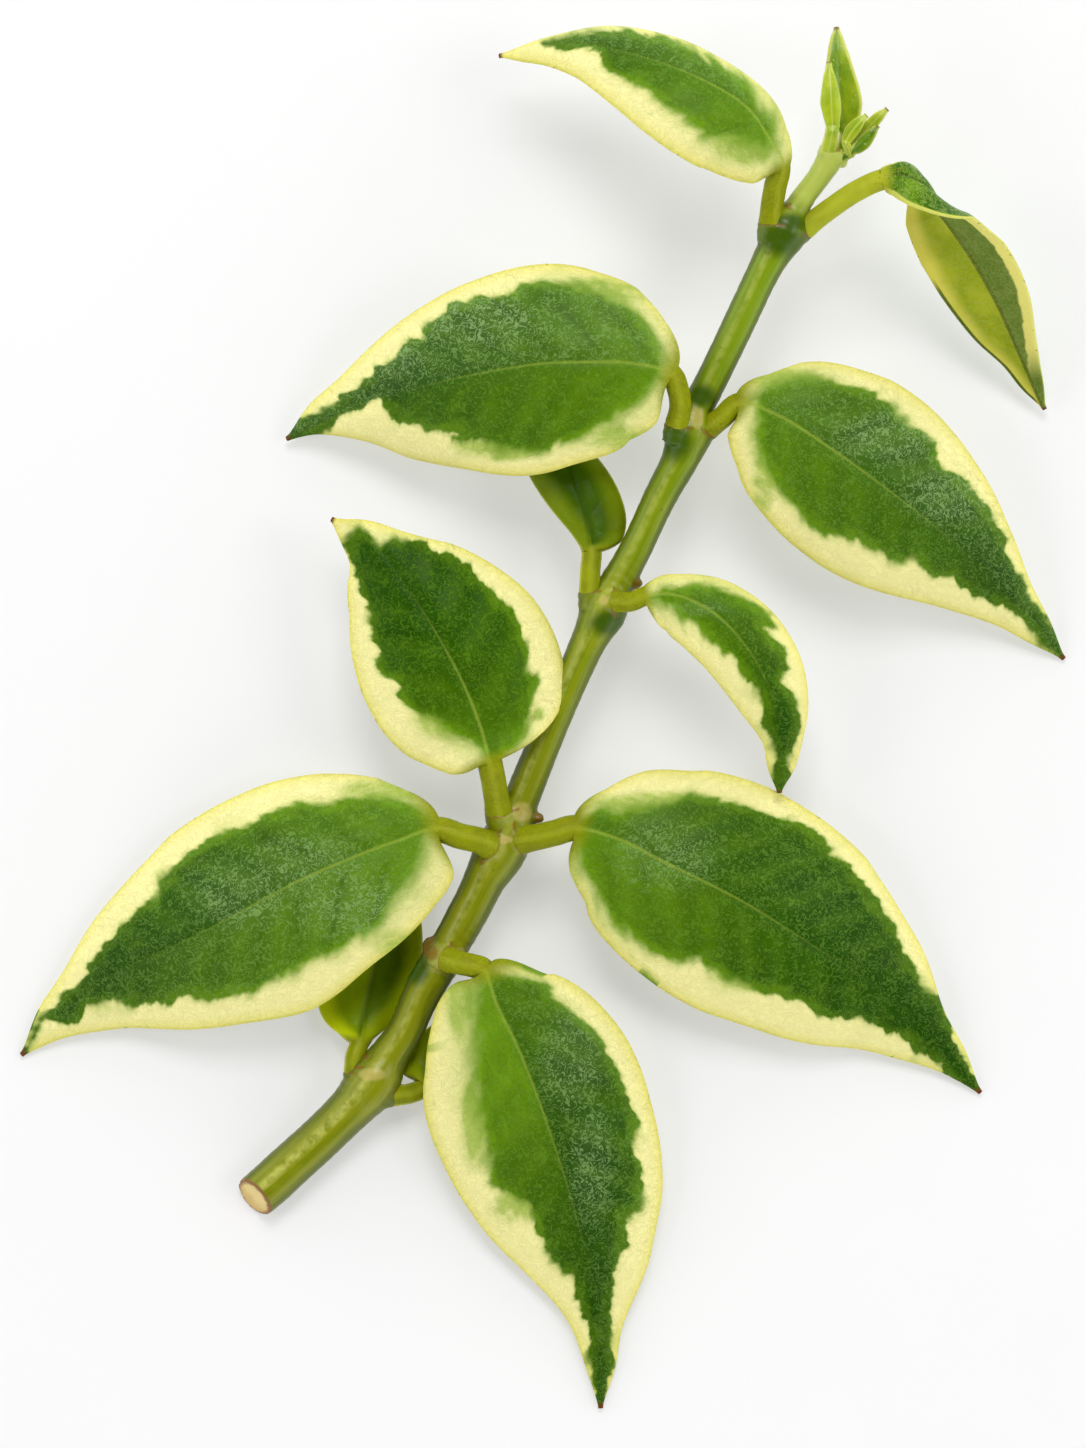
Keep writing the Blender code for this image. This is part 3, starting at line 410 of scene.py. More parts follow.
def smooth_path(points, steps):
    """Centripetal Catmull-Rom curve through the points, with a number of steps between each two."""
    pts = np.array(points, float)
    pts = np.vstack([2 * pts[0] - pts[1], pts, 2 * pts[-1] - pts[-2]])
    knots = np.concatenate([[0], np.cumsum(np.linalg.norm(np.diff(pts, axis=0), axis=1) ** 0.5)])
    line = []
    for i in range(1, len(pts) - 2):
        t0, t1, t2, t3 = knots[i - 1:i + 3]
        p0, p1, p2, p3 = pts[i - 1:i + 3]
        t = np.linspace(t1, t2, steps, endpoint=False)[:, None]
        a1 = ((t1 - t) * p0 + (t - t0) * p1) / (t1 - t0)
        a2 = ((t2 - t) * p1 + (t - t1) * p2) / (t2 - t1)
        a3 = ((t3 - t) * p2 + (t - t2) * p3) / (t3 - t2)
        b1 = ((t2 - t) * a1 + (t - t0) * a2) / (t2 - t0)
        b2 = ((t3 - t) * a2 + (t - t1) * a3) / (t3 - t1)
        line.append(((t2 - t) * b1 + (t - t1) * b2) / (t2 - t1))
    return np.vstack(line + [pts[-2][None]])


def side_width(t, widths, length):
    """Half-width of one side of a blade, for t from 0 at its base to 1 at its tip: a smooth curve
    through the half-widths at WIDTHS_AT, which ends at 0, with a round start before the first one."""
    shares = np.array((0, *WIDTHS_AT, 1))
    curve = smooth_path(np.stack([shares * length, (0, *widths, 0)], 1), WIDTH_STEPS)
    smooth = np.interp(t * length, curve[:, 0], np.maximum(curve[:, 1], 0))
    return np.where(t < WIDTHS_AT[0], widths[0] * (t / WIDTHS_AT[0]) ** 0.5, smooth)


def ring_angles(top, under):
    """Angles round a blade, closer together at the midrib and the margins on the upper face."""
    s = np.linspace(0, 1, top, endpoint=False)
    upper = math.pi * s - 0.13 * np.sin(4 * math.pi * s)
    lower = math.pi * (1 + np.linspace(0, 1, under, endpoint=False))
    return np.concatenate([upper, lower])


def petiole_foot(leaf):
    """Where a petiole meets the stem, and the direction in which it leaves."""
    start = np.array(leaf["petiole"][0])
    return start, unit(np.array((leaf["petiole"] + leaf["midrib"])[1]) - start)


def leaf_surface(leaf, blade_rings, angles, relief, inset=1.2):
    """Points of one leaf, ring by ring from the petiole's foot to the tip.

    The rings follow a smooth path through the petiole and midrib points. Across a ring the blade is an
    arc that curves down by the cup angle on each side, as wide as side_width says, thinner to the
    margin and rounded there, with the lobes beside the base swept back. The petiole is the same ring
    shrunk to a circle. relief(place) moves points along the surface normal."""
    start, first = petiole_foot(leaf)
    path = smooth_path((tuple(start + 0.5 * JOINT_GAP * first),) + leaf["petiole"][1:] + leaf["midrib"],
                       SPAN_STEPS)
    run = np.concatenate([[0], np.cumsum(np.linalg.norm(np.diff(path, axis=0), axis=1))])
    base = run[len(leaf["petiole"]) * SPAN_STEPS]
    total = run[-1]
    path = np.vstack([path[0] - inset * first, path])
    run = np.concatenate([[-inset], run])
    even = np.linspace(0, 1, blade_rings + 1)
    along = 0.7 * (0.5 - 0.5 * np.cos(math.pi * even)) + 0.3 * even ** 1.5
    petiole_rings = max(int((base + inset) / 0.3), 3)
    stations = np.concatenate([np.linspace(-inset, base, petiole_rings, endpoint=False),
                               base + along * (total - base)])
    t = np.clip((stations - base) / (total - base), 0, 1)

    def at(s):
        return np.stack([np.interp(s, run, path[:, k]) for k in range(3)], 1)

    reach = TANGENT_REACH * total
    centre = at(stations)
    forward = unit(at(stations + reach) - at(stations - reach))
    level = unit(np.cross((0, 0, 1), forward))
    raised = np.cross(forward, level)
    rolls = leaf.get("roll", (0, 0))
    roll = np.radians(np.interp(t, np.linspace(0, 1, len(rolls)), rolls))[:, None]
    left = np.cos(roll) * level + np.sin(roll) * raised
    up = np.cos(roll) * raised - np.sin(roll) * level

    t = t[:, None]
    across = np.cos(angles)[None, :]
    blade = ease(t / PETIOLE_TO_BLADE)
    flare = 1 + 0.12 * np.exp(-np.clip(stations, 0, None) / 0.7)[:, None] * (1 - blade)
    core = (TIP_RADIUS + (leaf["radius"] - TIP_RADIUS) * (1 - t) ** CORE_POWER) * flare
    middle = leaf["radius"] * flare + (LEAF_HALF_THICKNESS - leaf["radius"] * flare) * blade
    middle = middle * (1 - TIP_THINNING * ease((t - THINNING_START) / (1 - THINNING_START)))
    margin = middle * (1 + (MARGIN_HALF_THICKNESS / LEAF_HALF_THICKNESS - 1) * blade)
    left_width, right_width = [side_width(t, leaf[side], total - base) for side in ("left", "right")]
    width = np.where(across >= 0, left_width, right_width)
    half = np.hypot(width, core)
    bend = np.maximum(blade, LEAST_BEND) * leaf["cup"]
    lobe_length = np.where(across >= 0, *leaf.get("lobes", (0, 0)))
    swept = np.clip(t / LOBE_REACH, 0, 1) ** 0.5 * np.clip(1 - t / LOBE_END, 0, None) ** 1.5
    lobe = lobe_length * swept * across ** 2
    power = PETIOLE_POWER + (BLADE_POWER - PETIOLE_POWER) * blade
    round_off = np.clip(1 - np.abs(across) ** power, 0, None) ** 0.5
    thick = (middle + (margin - middle) * np.abs(across)) * np.sign(np.sin(angles))[None, :] * round_off
    place = dict(t=t + 0 * across, s=stations[:, None] - base + 0 * across, x=across * half, half=half,
                 across=across + 0 * t, blade=blade + 0 * across, top=np.sin(angles)[None, :] + 0 * t,
                 length=total - base)
    thick = thick + relief(place)
    tilt = (bend * across)[..., None]
    arc = (half / bend)[..., None]
    left = left[:, None]
    up = up[:, None]
    normal = np.cos(tilt) * up + np.sin(tilt) * left
    points = (centre[:, None] + arc * (np.sin(tilt) * left - (1 - np.cos(tilt)) * up)
              - lobe[..., None] * forward[:, None] + thick[..., None] * normal)
    points[..., 2] = np.maximum(points[..., 2], 0)
    return points, place


def blade_relief(seed):
    """Relief of a fleshy blade, as a function of its place: a sunk midrib with a ridge under it, faint
    side veins that leave it at about 45 degrees and bend forward, low swells between them, and a
    gently waved margin."""
    draw = np.random.default_rng(seed)
    spacing = draw.uniform(5.0, 6.2)
    first_vein = draw.uniform(0, 1, 2)
    phase = draw.uniform(0, 2 * math.pi, 8)

    def relief(place):
        x = place["x"]
        far = np.abs(x)
        s = place["s"]
        t = place["t"]
        upper = np.clip(place["top"] * 4, 0, 1)
        lower = np.clip(-place["top"] * 4, 0, 1)
        fade = place["blade"] * (1 - t) ** 0.5
        groove = -NARROW_GROOVE * bell(x, 0.3) - BROAD_GROOVE * bell(x, 1.3)
        ridge = -RIDGE * bell(x, 0.6)
        shoulder = SHOULDER * bell(far - 1.6, 0.9)
        vein_at = s - 0.8 * far - 0.014 * far ** 2 + 0.35 * np.sin(0.5 * far + phase[0])
        count = vein_at / spacing + np.where(x >= 0, first_vein[0], first_vein[1])
        count = count + 0.12 * np.sin(2.3 * np.floor(count + 0.5) + phase[1])
        near = (count - np.round(count)) * spacing * VEIN_SLOPE
        inner = ease(far / 1.5) * ease((0.9 - far / place["half"]) / 0.35)
        between = np.cos(2 * math.pi * near / spacing / VEIN_SLOPE)
        veins = -(VEIN * bell(near, 0.24) + VEIN_SWELL * between) * inner
        swell = SLOW_SWELL * np.sin(s / 3.1 + phase[2]) * np.sin(x / 2.6 + phase[3])
        quick_wave = np.sin(s / 1.7 + x / 2.3 + phase[4]) * np.sin(x / 1.5 - s / 3.3 + phase[5])
        swell = swell + QUICK_SWELL * quick_wave
        edge = MARGIN_WAVE * np.sin(s / 4.3 + phase[6] + (x > 0) * 2.1) * np.abs(place["across"]) ** 3
        both = (swell + edge) * place["blade"] * np.clip(far / 3, 0, 1)
        return fade * (upper * (groove + shoulder + veins) + lower * ridge) + both * fade

    return relief


def linked(name, data):
    """A new object for a mesh, lamp or camera, linked into the scene."""
    obj = bpy.data.objects.new(name, data)
    bpy.context.scene.collection.objects.link(obj)
    return obj


def link_mesh(name, points, quads, tris, values, material):
    """A smooth mesh object from points in millimetres, with one attribute for each entry of values."""
    mesh = bpy.data.meshes.new(name)
    mesh.vertices.add(len(points))
    mesh.vertices.foreach_set("co", ((points + shift) * MM).ravel())
    corners = np.concatenate([quads.ravel(), tris.ravel()])
    sizes = np.concatenate([np.full(len(quads), 4), np.full(len(tris), 3)])
    mesh.loops.add(len(corners))
    mesh.loops.foreach_set("vertex_index", corners.astype(np.int32))
    mesh.polygons.add(len(sizes))
    starts = np.concatenate([[0], np.cumsum(sizes)[:-1]])
    mesh.polygons.foreach_set("loop_start", starts.astype(np.int32))
    mesh.polygons.foreach_set("use_smooth", np.ones(len(sizes), bool))
    mesh.update(calc_edges=True)
    mesh.validate()
    add_values(mesh, values)
    mesh.materials.append(material)
    return linked(name, mesh)


def add_values(mesh, values):
    """Adds an attribute on the points for each entry: a number or three numbers a point."""
    for key, data in values.items():
        data = np.asarray(data, float)
        if data.ndim == 1:
            mesh.attributes.new(key, "FLOAT", "POINT").data.foreach_set("value", data)
        else:
            mesh.attributes.new(key, "FLOAT_VECTOR", "POINT").data.foreach_set("vector", data.ravel())


def skin_indices(rings, size):
    """Quads round a stack of closed rings, and triangles from the two end rings to a point each."""
    i = np.arange(rings - 1)[:, None] * size
    k = np.arange(size)[None, :]
    n = (k + 1) % size
    quads = np.stack([i + k, i + n, i + size + n, i + size + k], -1).reshape(-1, 4)
    k = np.arange(size)
    n = (k + 1) % size
    foot = np.stack([n, k, np.full(size, rings * size)], 1)
    last = (rings - 1) * size
    head = np.stack([last + k, last + n, np.full(size, rings * size + 1)], 1)
    return quads, np.concatenate([foot, head])


def capped(grid):
    """A grid of values per ring, flattened, with the mean of the first and of the last ring added."""
    flat = grid.reshape(-1, *grid.shape[2:])
    return np.concatenate([flat, grid[:1].mean(1), grid[-1:].mean(1)])


def seen_on_surface(points):
    """Where the camera sees points, as x and y in the plane of the surface."""
    return points[..., :2] / (1 - points[..., 2:] * MM / CAMERA_HEIGHT)


def inside_area(points, outline):
    """How far inside an outline the camera sees each point; negative outside."""
    seen = seen_on_surface(points)
    corners = np.array(outline)
    nearest = np.full(seen.shape[:-1], np.inf)
    inside = np.zeros(seen.shape[:-1], bool)
    for a, b in zip(corners, np.roll(corners, -1, axis=0)):
        side = b - a
        offset = seen - a
        along = np.clip(offset @ side / (side @ side), 0, 1)
        nearest = np.minimum(nearest, np.linalg.norm(offset - along[..., None] * side, axis=-1))
        spans = (a[1] > seen[..., 1]) != (b[1] > seen[..., 1])
        crossing = a[0] + side[0] * offset[..., 1] / (side[1] or 1)
        inside ^= spans & (seen[..., 0] < crossing)
    return np.where(inside, nearest, -nearest)


def marks_at(points, marks):
    """How strongly each point lies in one of the marks, as the camera sees them: 1 in its middle."""
    seen = seen_on_surface(points)
    strength = np.zeros(seen.shape[:-1])
    for centre, half in marks:
        strength = np.maximum(strength, ease(1.5 - np.linalg.norm((seen - centre) / half, axis=-1)))
    return strength


def by_side(table, place):
    """A value for the left and the right half of a blade, blended over the midrib. Each half has one
    number or several at even steps from the base to the tip."""
    left, right = [np.interp(place["t"], np.linspace(0, 1, np.size(side)), np.atleast_1d(side))
                   for side in table]
    return right + (left - right) * ease(0.5 + place["x"] / 1.2)


def leaf_values(name, points, place):
    """What the leaf materials read at each point: run (mm along, mm across, mm inside the green), rim
    (mm to the margin, 1 on the upper face, share of the blade's length) and tone (how pale the green
    is, how much painted sheen whitens it, how green the cream is)."""
    across = place["across"]
    far = np.abs(place["x"])
    edge = place["half"] - far
    if name in GREEN_AREAS:
        inside = inside_area(points, GREEN_AREAS[name])
    else:
        inside = ALL_GREEN + 0 * far
    for sign, first, last, width in EDGE_PATCHES.get(name, ()):
        within = ease((place["t"] - first) / 0.01) * ease((last - place["t"]) / 0.01) * (across * sign > 0)
        inside = np.maximum(inside, np.where(within > 0.5, width - edge, inside))
    pale = by_side(PALENESS.get(name, (0, 0)), place)
    # Painted sheen: a share for each half of the blade, more in the spots
    bloom = by_side(PAINTED_SHEEN_SIDES.get(name, (0, 0)), place) + PAINTED_SHEEN_STRENGTH * marks_at(points, PAINTED_SHEEN_SPOTS)
    stalk = np.where(place["s"] < 0, place["s"] / 10, place["t"])
    top = np.clip(0.5 + 3 * place["top"], 0, 1)
    return dict(run=np.stack([capped(place["s"]), capped(place["x"]), capped(inside)], 1),
                rim=np.stack([capped(edge), capped(top), capped(stalk)], 1),
                tone=np.stack([capped(pale), capped(bloom), capped(marks_at(points, WASHES))], 1))


def make_leaf(name, leaf, material, rings, angles, relief):
    points, place = leaf_surface(leaf, rings, angles, relief)
    quads, tris = skin_indices(*points.shape[:2])
    return link_mesh(name + "_fine", capped(points), quads, tris, leaf_values(name, points, place),
                     material)


def tube_rings(line, sides, slant=0):
    """Rings round a line of points with radii. A slant leans the first ring back, so that its lower
    edge reaches further, and the rings after it less and less."""
    line = np.array(line, float)
    centre, radius = line[:, :3], line[:, 3]
    forward = unit(np.gradient(centre, axis=0))
    level = unit(np.cross((0, 0, 1), forward))
    raised = np.cross(forward, level)
    angles = 2 * math.pi * np.arange(sides) / sides
    spread = np.cos(angles)[None, :, None] * level[:, None] + np.sin(angles)[None, :, None] * raised[:, None]
    run = np.concatenate([[0], np.cumsum(np.linalg.norm(np.diff(centre, axis=0), axis=1))])
    lean = slant * np.clip(1 - run / CUT_FADE, 0, 1)[:, None] * radius[:, None] * np.sin(angles)
    return centre[:, None] + radius[:, None, None] * spread + lean[..., None] * forward[:, None]


def closed_tube(rings):
    """Points and faces of one closed tube, for the remesh of the stem."""
    quads, tris = skin_indices(*rings.shape[:2])
    return capped(rings), quads, tris


def stub_rings(leaf, sides=32):
    """The short stump that carries a petiole, with a rounded rim: depths below its face, and widths
    against the petiole's."""
    start, outward = petiole_foot(leaf)
    face = start - 0.5 * JOINT_GAP * outward
    line = []
    for back, grow in ((2.4, 1.2), (1.6, 1.2), (0.8, 1.2), (0.35, 1.22), (0.1, 1.16), (0, 1.0)):
        line.append((*(face - back * outward), leaf["radius"] * grow))
    return tube_rings(line, sides)


def bud_rings(centre, half, rings=12, sides=20, open_angle=0.12):
    """Rings of an egg shape from its foot to its top, both a little open for the caps."""
    polar = np.linspace(open_angle, math.pi - open_angle, rings)[:, None]
    around = np.linspace(0, 2 * math.pi, sides, endpoint=False)
    return np.stack([centre[0] + half[0] * np.sin(polar) * np.cos(around),
                     centre[1] + half[1] * np.sin(polar) * np.sin(around),
                     centre[2] - half[2] * np.cos(polar) + 0 * around], -1)


def remeshed(name, parts, voxel, smoothing):
    """One even skin over overlapping closed parts: a voxel remesh, then smoothing. Points in mm."""
    points = []
    quads = []
    tris = []
    offset = 0
    for part_points, part_quads, part_tris in parts:
        points.append(part_points)
        quads.append(part_quads + offset)
        tris.append(part_tris + offset)
        offset += len(part_points)
    mesh = bpy.data.meshes.new(name)
    faces = [tuple(f) for group in quads + tris for f in group.tolist()]
    mesh.from_pydata(np.concatenate(points).tolist(), [], faces)
    obj = linked(name, mesh)
    remesh = obj.modifiers.new("remesh", "REMESH")
    remesh.mode = "VOXEL"
    remesh.voxel_size = voxel
    soften = obj.modifiers.new("soften", "SMOOTH")
    soften.factor = 0.5
    soften.iterations = smoothing
    even = bpy.data.meshes.new_from_object(obj.evaluated_get(bpy.context.evaluated_depsgraph_get()))
    bpy.data.objects.remove(obj)
    bpy.data.meshes.remove(mesh)
    return even


def read_vectors(items, key):
    """One vector of each item of a mesh, as an array."""
    flat = np.empty(len(items) * 3)
    items.foreach_get(key, flat)
    return flat.reshape(-1, 3)


def nearest_on_line(points, line):
    """For each point: the distance run along the line to its nearest place there, the offset from
    there, and the line's direction there."""
    line = np.asarray(line)
    a = line[:-1]
    step = line[1:] - a
    length = np.linalg.norm(step, axis=1)
    run = np.concatenate([[0], np.cumsum(length)])
    best = np.full(len(points), np.inf)
    where = np.zeros(len(points))
    offset = np.zeros_like(points)
    ahead = np.zeros_like(points)
    for k in range(len(a)):
        rel = points - a[k]
        u = rel @ step[k] / length[k] ** 2
        if k > 0:
            u = np.maximum(u, 0)
        if k < len(a) - 1:
            u = np.minimum(u, 1)
        gap = rel - u[:, None] * step[k]
        distance = np.linalg.norm(gap, axis=1)
        closer = distance < best
        best[closer] = distance[closer]
        where[closer] = run[k] + u[closer] * length[k]
        offset[closer] = gap[closer]
        ahead[closer] = step[k] / length[k]
    return where, offset, ahead


def make_stem(material):
    """The stem with its node swellings, stumps and side buds, as one skin with lengthwise ribs, fine
    cross wrinkles and creases round the nodes."""
    line = smooth_path(STEM_LINE, 4)
    parts = [closed_tube(tube_rings(line, 48, CUT_SLANT))]
    parts += [closed_tube(stub_rings(leaf)) for leaf in LEAVES.values()]
    parts.append(closed_tube(stub_rings(SIDE_LEAFLETS["side_leaf_low"])))
    parts += [closed_tube(bud_rings(centre, half)) for centre, half in STEM_BUDS]
    mesh = remeshed("stem_fine", parts, STEM_VOXEL, STEM_SMOOTHING)
    points = read_vectors(mesh.vertices, "co")
    normals = read_vectors(mesh.vertex_normals, "vector")
    run, offset, ahead = nearest_on_line(points, line[:, :3])
    level = unit(np.cross((0, 0, 1), ahead))
    raised = np.cross(ahead, level)
    sideways = (offset * level).sum(1)
    upward = (offset * raised).sum(1)
    angle = np.arctan2(upward, sideways)
    from_cut = run - upward * CUT_SLANT
    on_tube = ease((from_cut - 0.6) / 0.8)
    brown = np.zeros(len(points))
    node = np.zeros(len(points))
    for leaf in LEAVES.values():
        start, outward = petiole_foot(leaf)
        rel = points - start
        axial = rel @ outward
        radial = np.linalg.norm(rel - axial[:, None] * outward, axis=1)
        close = radial < 1.7 * leaf["radius"]
        brown = np.maximum(brown, bell(axial + 0.28, 0.22) * close)
        node = np.maximum(node, bell(np.linalg.norm(rel, axis=1), 3.2))
    ribs = STEM_RIB * np.sin(7 * angle + 0.8 * np.sin(run / 5)) * on_tube
    wrinkles = np.sin(run * 3.7 + 1.6 * np.sin(angle * 2 + run / 2)) * np.sin(run * 1.3 + angle)
    wrinkles = STEM_WRINKLE * wrinkles
    creases = NODE_CREASE * np.sin(run * 5.2 + np.sin(angle * 3)) * node
    points = points + (ribs + (wrinkles + creases) * on_tube)[:, None] * normals
    points[:, 2] = np.maximum(points[:, 2], 0)
    for centre, half in STEM_BUDS:
        away = np.linalg.norm((points - centre) / half, axis=1)
        brown = np.maximum(brown, 0.8 * ease((1.5 - away) / 0.4))
    on_top = ease(upward + 0.5)
    brown = np.maximum(brown, marks_at(points, BROWN_MARKS) * on_top)
    # Pale scars with one painted sheen, then dark green node heads with painted shade beside them
    pale = marks_at(points, PALE_SCARS_AND_PAINTED_SHEEN) * on_top
    dark = marks_at(points, DARK_NODES_AND_PAINTED_SHADE) * on_top
    reach = np.linalg.norm(offset, axis=1)
    mesh.vertices.foreach_set("co", ((points + shift) * MM).ravel())
    add_values(mesh, dict(run=np.stack([run, sideways, upward], 1),
                          marks=np.stack([brown, node, pale], 1),
                          cut=np.stack([from_cut, reach, dark], 1)))
    mesh.update()
    mesh.polygons.foreach_set("use_smooth", np.ones(len(mesh.polygons), bool))
    mesh.materials.clear()
    mesh.materials.append(material)
    return linked("stem_fine", mesh)


def operator(operation, swapped=False):
    """An operator of Signal: a Math node on its two sides, which a reflected form swaps."""
    def apply(self, other):
        return self.math(operation, other, swapped=swapped)

    return apply


class Signal:
    """One output of a material's node tree, with arithmetic that adds Math nodes."""

    def __init__(self, net, socket):
        self.net = net
        self.socket = socket

    def math(self, operation, *others, swapped=False):
        terms = [self, *others]
        if swapped:
            terms.reverse()
        return self.net.node("ShaderNodeMath", dict(operation=operation), dict(enumerate(terms)))

    __add__ = operator("ADD")
    __radd__ = operator("ADD")
    __sub__ = operator("SUBTRACT")
    __rsub__ = operator("SUBTRACT", swapped=True)
    __mul__ = operator("MULTIPLY")
    __rmul__ = operator("MULTIPLY")
    __truediv__ = operator("DIVIDE")
    __rtruediv__ = operator("DIVIDE", swapped=True)
    at_most = operator("MINIMUM")
    at_least = operator("MAXIMUM")

    def size(self):
        return self.math("ABSOLUTE")

    def step(self, low, high):
        """A smooth step from 0 where this is low to 1 where it is high; low may be above high."""
        return self.net.node("ShaderNodeMapRange", dict(interpolation_type="SMOOTHSTEP"),
                             {"Value": self, "From Min": low, "From Max": high})


class Net:
    """The node tree of one new material, with short calls for the nodes used here."""

    def __init__(self, name):
        self.material = bpy.data.materials.new(name)
        self.material.use_nodes = True
        self.tree = self.material.node_tree
        self.shader = self.tree.nodes["Principled BSDF"]

    def feed(self, socket, value):
        if isinstance(value, Signal):
            self.tree.links.new(value.socket, socket)
        else:
            socket.default_value = value

    def node(self, kind, settings=None, values=None, output=0):
        """Adds a node, sets its properties and sockets, and gives one of its outputs."""
        made = self.tree.nodes.new(kind)
        for key, value in (settings or {}).items():
            setattr(made, key, value)
        for key, value in (values or {}).items():
            self.feed(made.inputs[key], value)
        return Signal(self, made.outputs[output])

    def values(self, name):
        """The three numbers of a vector attribute."""
        vector = self.node("ShaderNodeAttribute", dict(attribute_name=name), output="Vector")
        return [self.node("ShaderNodeSeparateXYZ", None, {0: vector}, output=k) for k in range(3)]

    def place(self):
        return self.node("ShaderNodeTexCoord", output="Object")

    def vector(self, x, y, z):
        return self.node("ShaderNodeCombineXYZ", None, {0: x, 1: y, 2: z})

    def noise(self, at, scale, detail=2.0, roughness=0.5, distortion=0.0):
        return self.node("ShaderNodeTexNoise", None,
                         {"Vector": at, "Scale": scale, "Detail": detail, "Roughness": roughness,
                          "Distortion": distortion})

    def mix(self, factor, first, second):
        """A colour that goes from the first to the second as the factor goes from 0 to 1."""
        return self.node("ShaderNodeMix", dict(data_type="RGBA"), {0: factor, 6: first, 7: second}, 2)

    def layers(self, colour, *rows):
        """A colour under one layer for each row: how strongly the layer covers it, and its colour."""
        for factor, tint in rows:
            colour = self.mix(factor, colour, tint)
        return colour

    def bump(self, height, depth, strength=1.0, below=None):
        """A normal from a height of 0 to 1 that stands for a depth in metres."""
        values = {"Height": height, "Distance": depth, "Strength": strength}
        if below is not None:
            values["Normal"] = below
        return self.node("ShaderNodeBump", None, values)

    def finish(self, colour, roughness, normal, **constants):
        self.feed(self.shader.inputs["Base Color"], colour)
        self.feed(self.shader.inputs["Roughness"], roughness)
        self.feed(self.shader.inputs["Normal"], normal)
        for key, value in constants.items():
            self.shader.inputs[key.replace("_", " ")].default_value = value
        return self.material


def rgb(red, green, blue):
    """A linear colour from sRGB values of 0 to 255."""
    made = []
    for value in (red, green, blue):
        share = value / 255
        made.append(share / 12.92 if share <= 0.04045 else ((share + 0.055) / 1.055) ** 2.4)
    return (*made, 1)


DEEP_GREEN = rgb(22, 56, 0)
MID_GREEN = rgb(46, 92, 0)
LIGHT_GREEN = rgb(106, 148, 14)
PALE_GREEN = rgb(158, 184, 70)
PAINTED_SHEEN_TINT = rgb(182, 206, 166)
CREAM = rgb(243, 237, 163)
RICH_CREAM = rgb(234, 227, 134)
YELLOW_EDGE = rgb(212, 206, 84)
RIM_BROWN = rgb(120, 100, 40)
TIP_BROWN = rgb(110, 62, 30)
STALK_GREEN = rgb(140, 148, 10)
MIDRIB_PALE = rgb(152, 176, 62)


class LeafNet(Net):
    """A leaf material's node tree, with the leaf's values and the parts that all leaves share."""

    def __init__(self, name):
        super().__init__(name)
        self.at = self.place()
        self.s, self.x, self.inside = self.values("run")
        self.edge, self.top, self.stalk = self.values("rim")
        # Tone: paleness of the green, painted sheen, and green wash in the cream
        self.pale, self.bloom, self.wash = self.values("tone")
        self.far = self.x.size()
        self.drift = self.noise(self.at, 160.0, 2.0)
        self.worm = (self.noise(self.at, 1150.0, 1.5, 0.5, 1.5) - 0.5).size().step(0.075, 0.01)

    def stalk_skin(self, colour, first, second):
        """The petiole's colour, up to where the blade begins, with a painted highlight along its top."""
        tint = self.layers(first, (self.noise(self.at, 420.0, 2.0).step(0.35, 0.7) * 0.6, second),
                           # A painted highlight along the petiole's top
                           (self.far.step(0.6, 0.1) * self.top * 0.25, rgb(186, 190, 60)))
        return self.mix(self.stalk.step(0.045, 0.0), colour, tint)

    def rim_specks(self, colour):
        """Brown specks on the rim, and the brown tip."""
        speck = self.noise(self.at, 1500.0, 2.0, 0.7).step(0.62, 0.7) * self.edge.step(0.3, 0.12)
        return self.layers(colour, (speck * self.stalk.step(0.1, 0.3) * 0.8, RIM_BROWN),
                           (self.stalk.step(0.982, 0.997), TIP_BROWN))

    def skin(self, colour, ridge, roughness):
        """Ends the material with the low relief of a fleshy leaf, with fine winding ridges."""
        normal = self.bump(self.noise(self.at, 700.0, 2.0, 0.5, 0.5), 0.00012, 0.22)
        normal = self.bump(self.worm, 0.00004, ridge, normal)
        return self.finish(colour, roughness, normal, Specular_IOR_Level=LEAF_GLOSS)


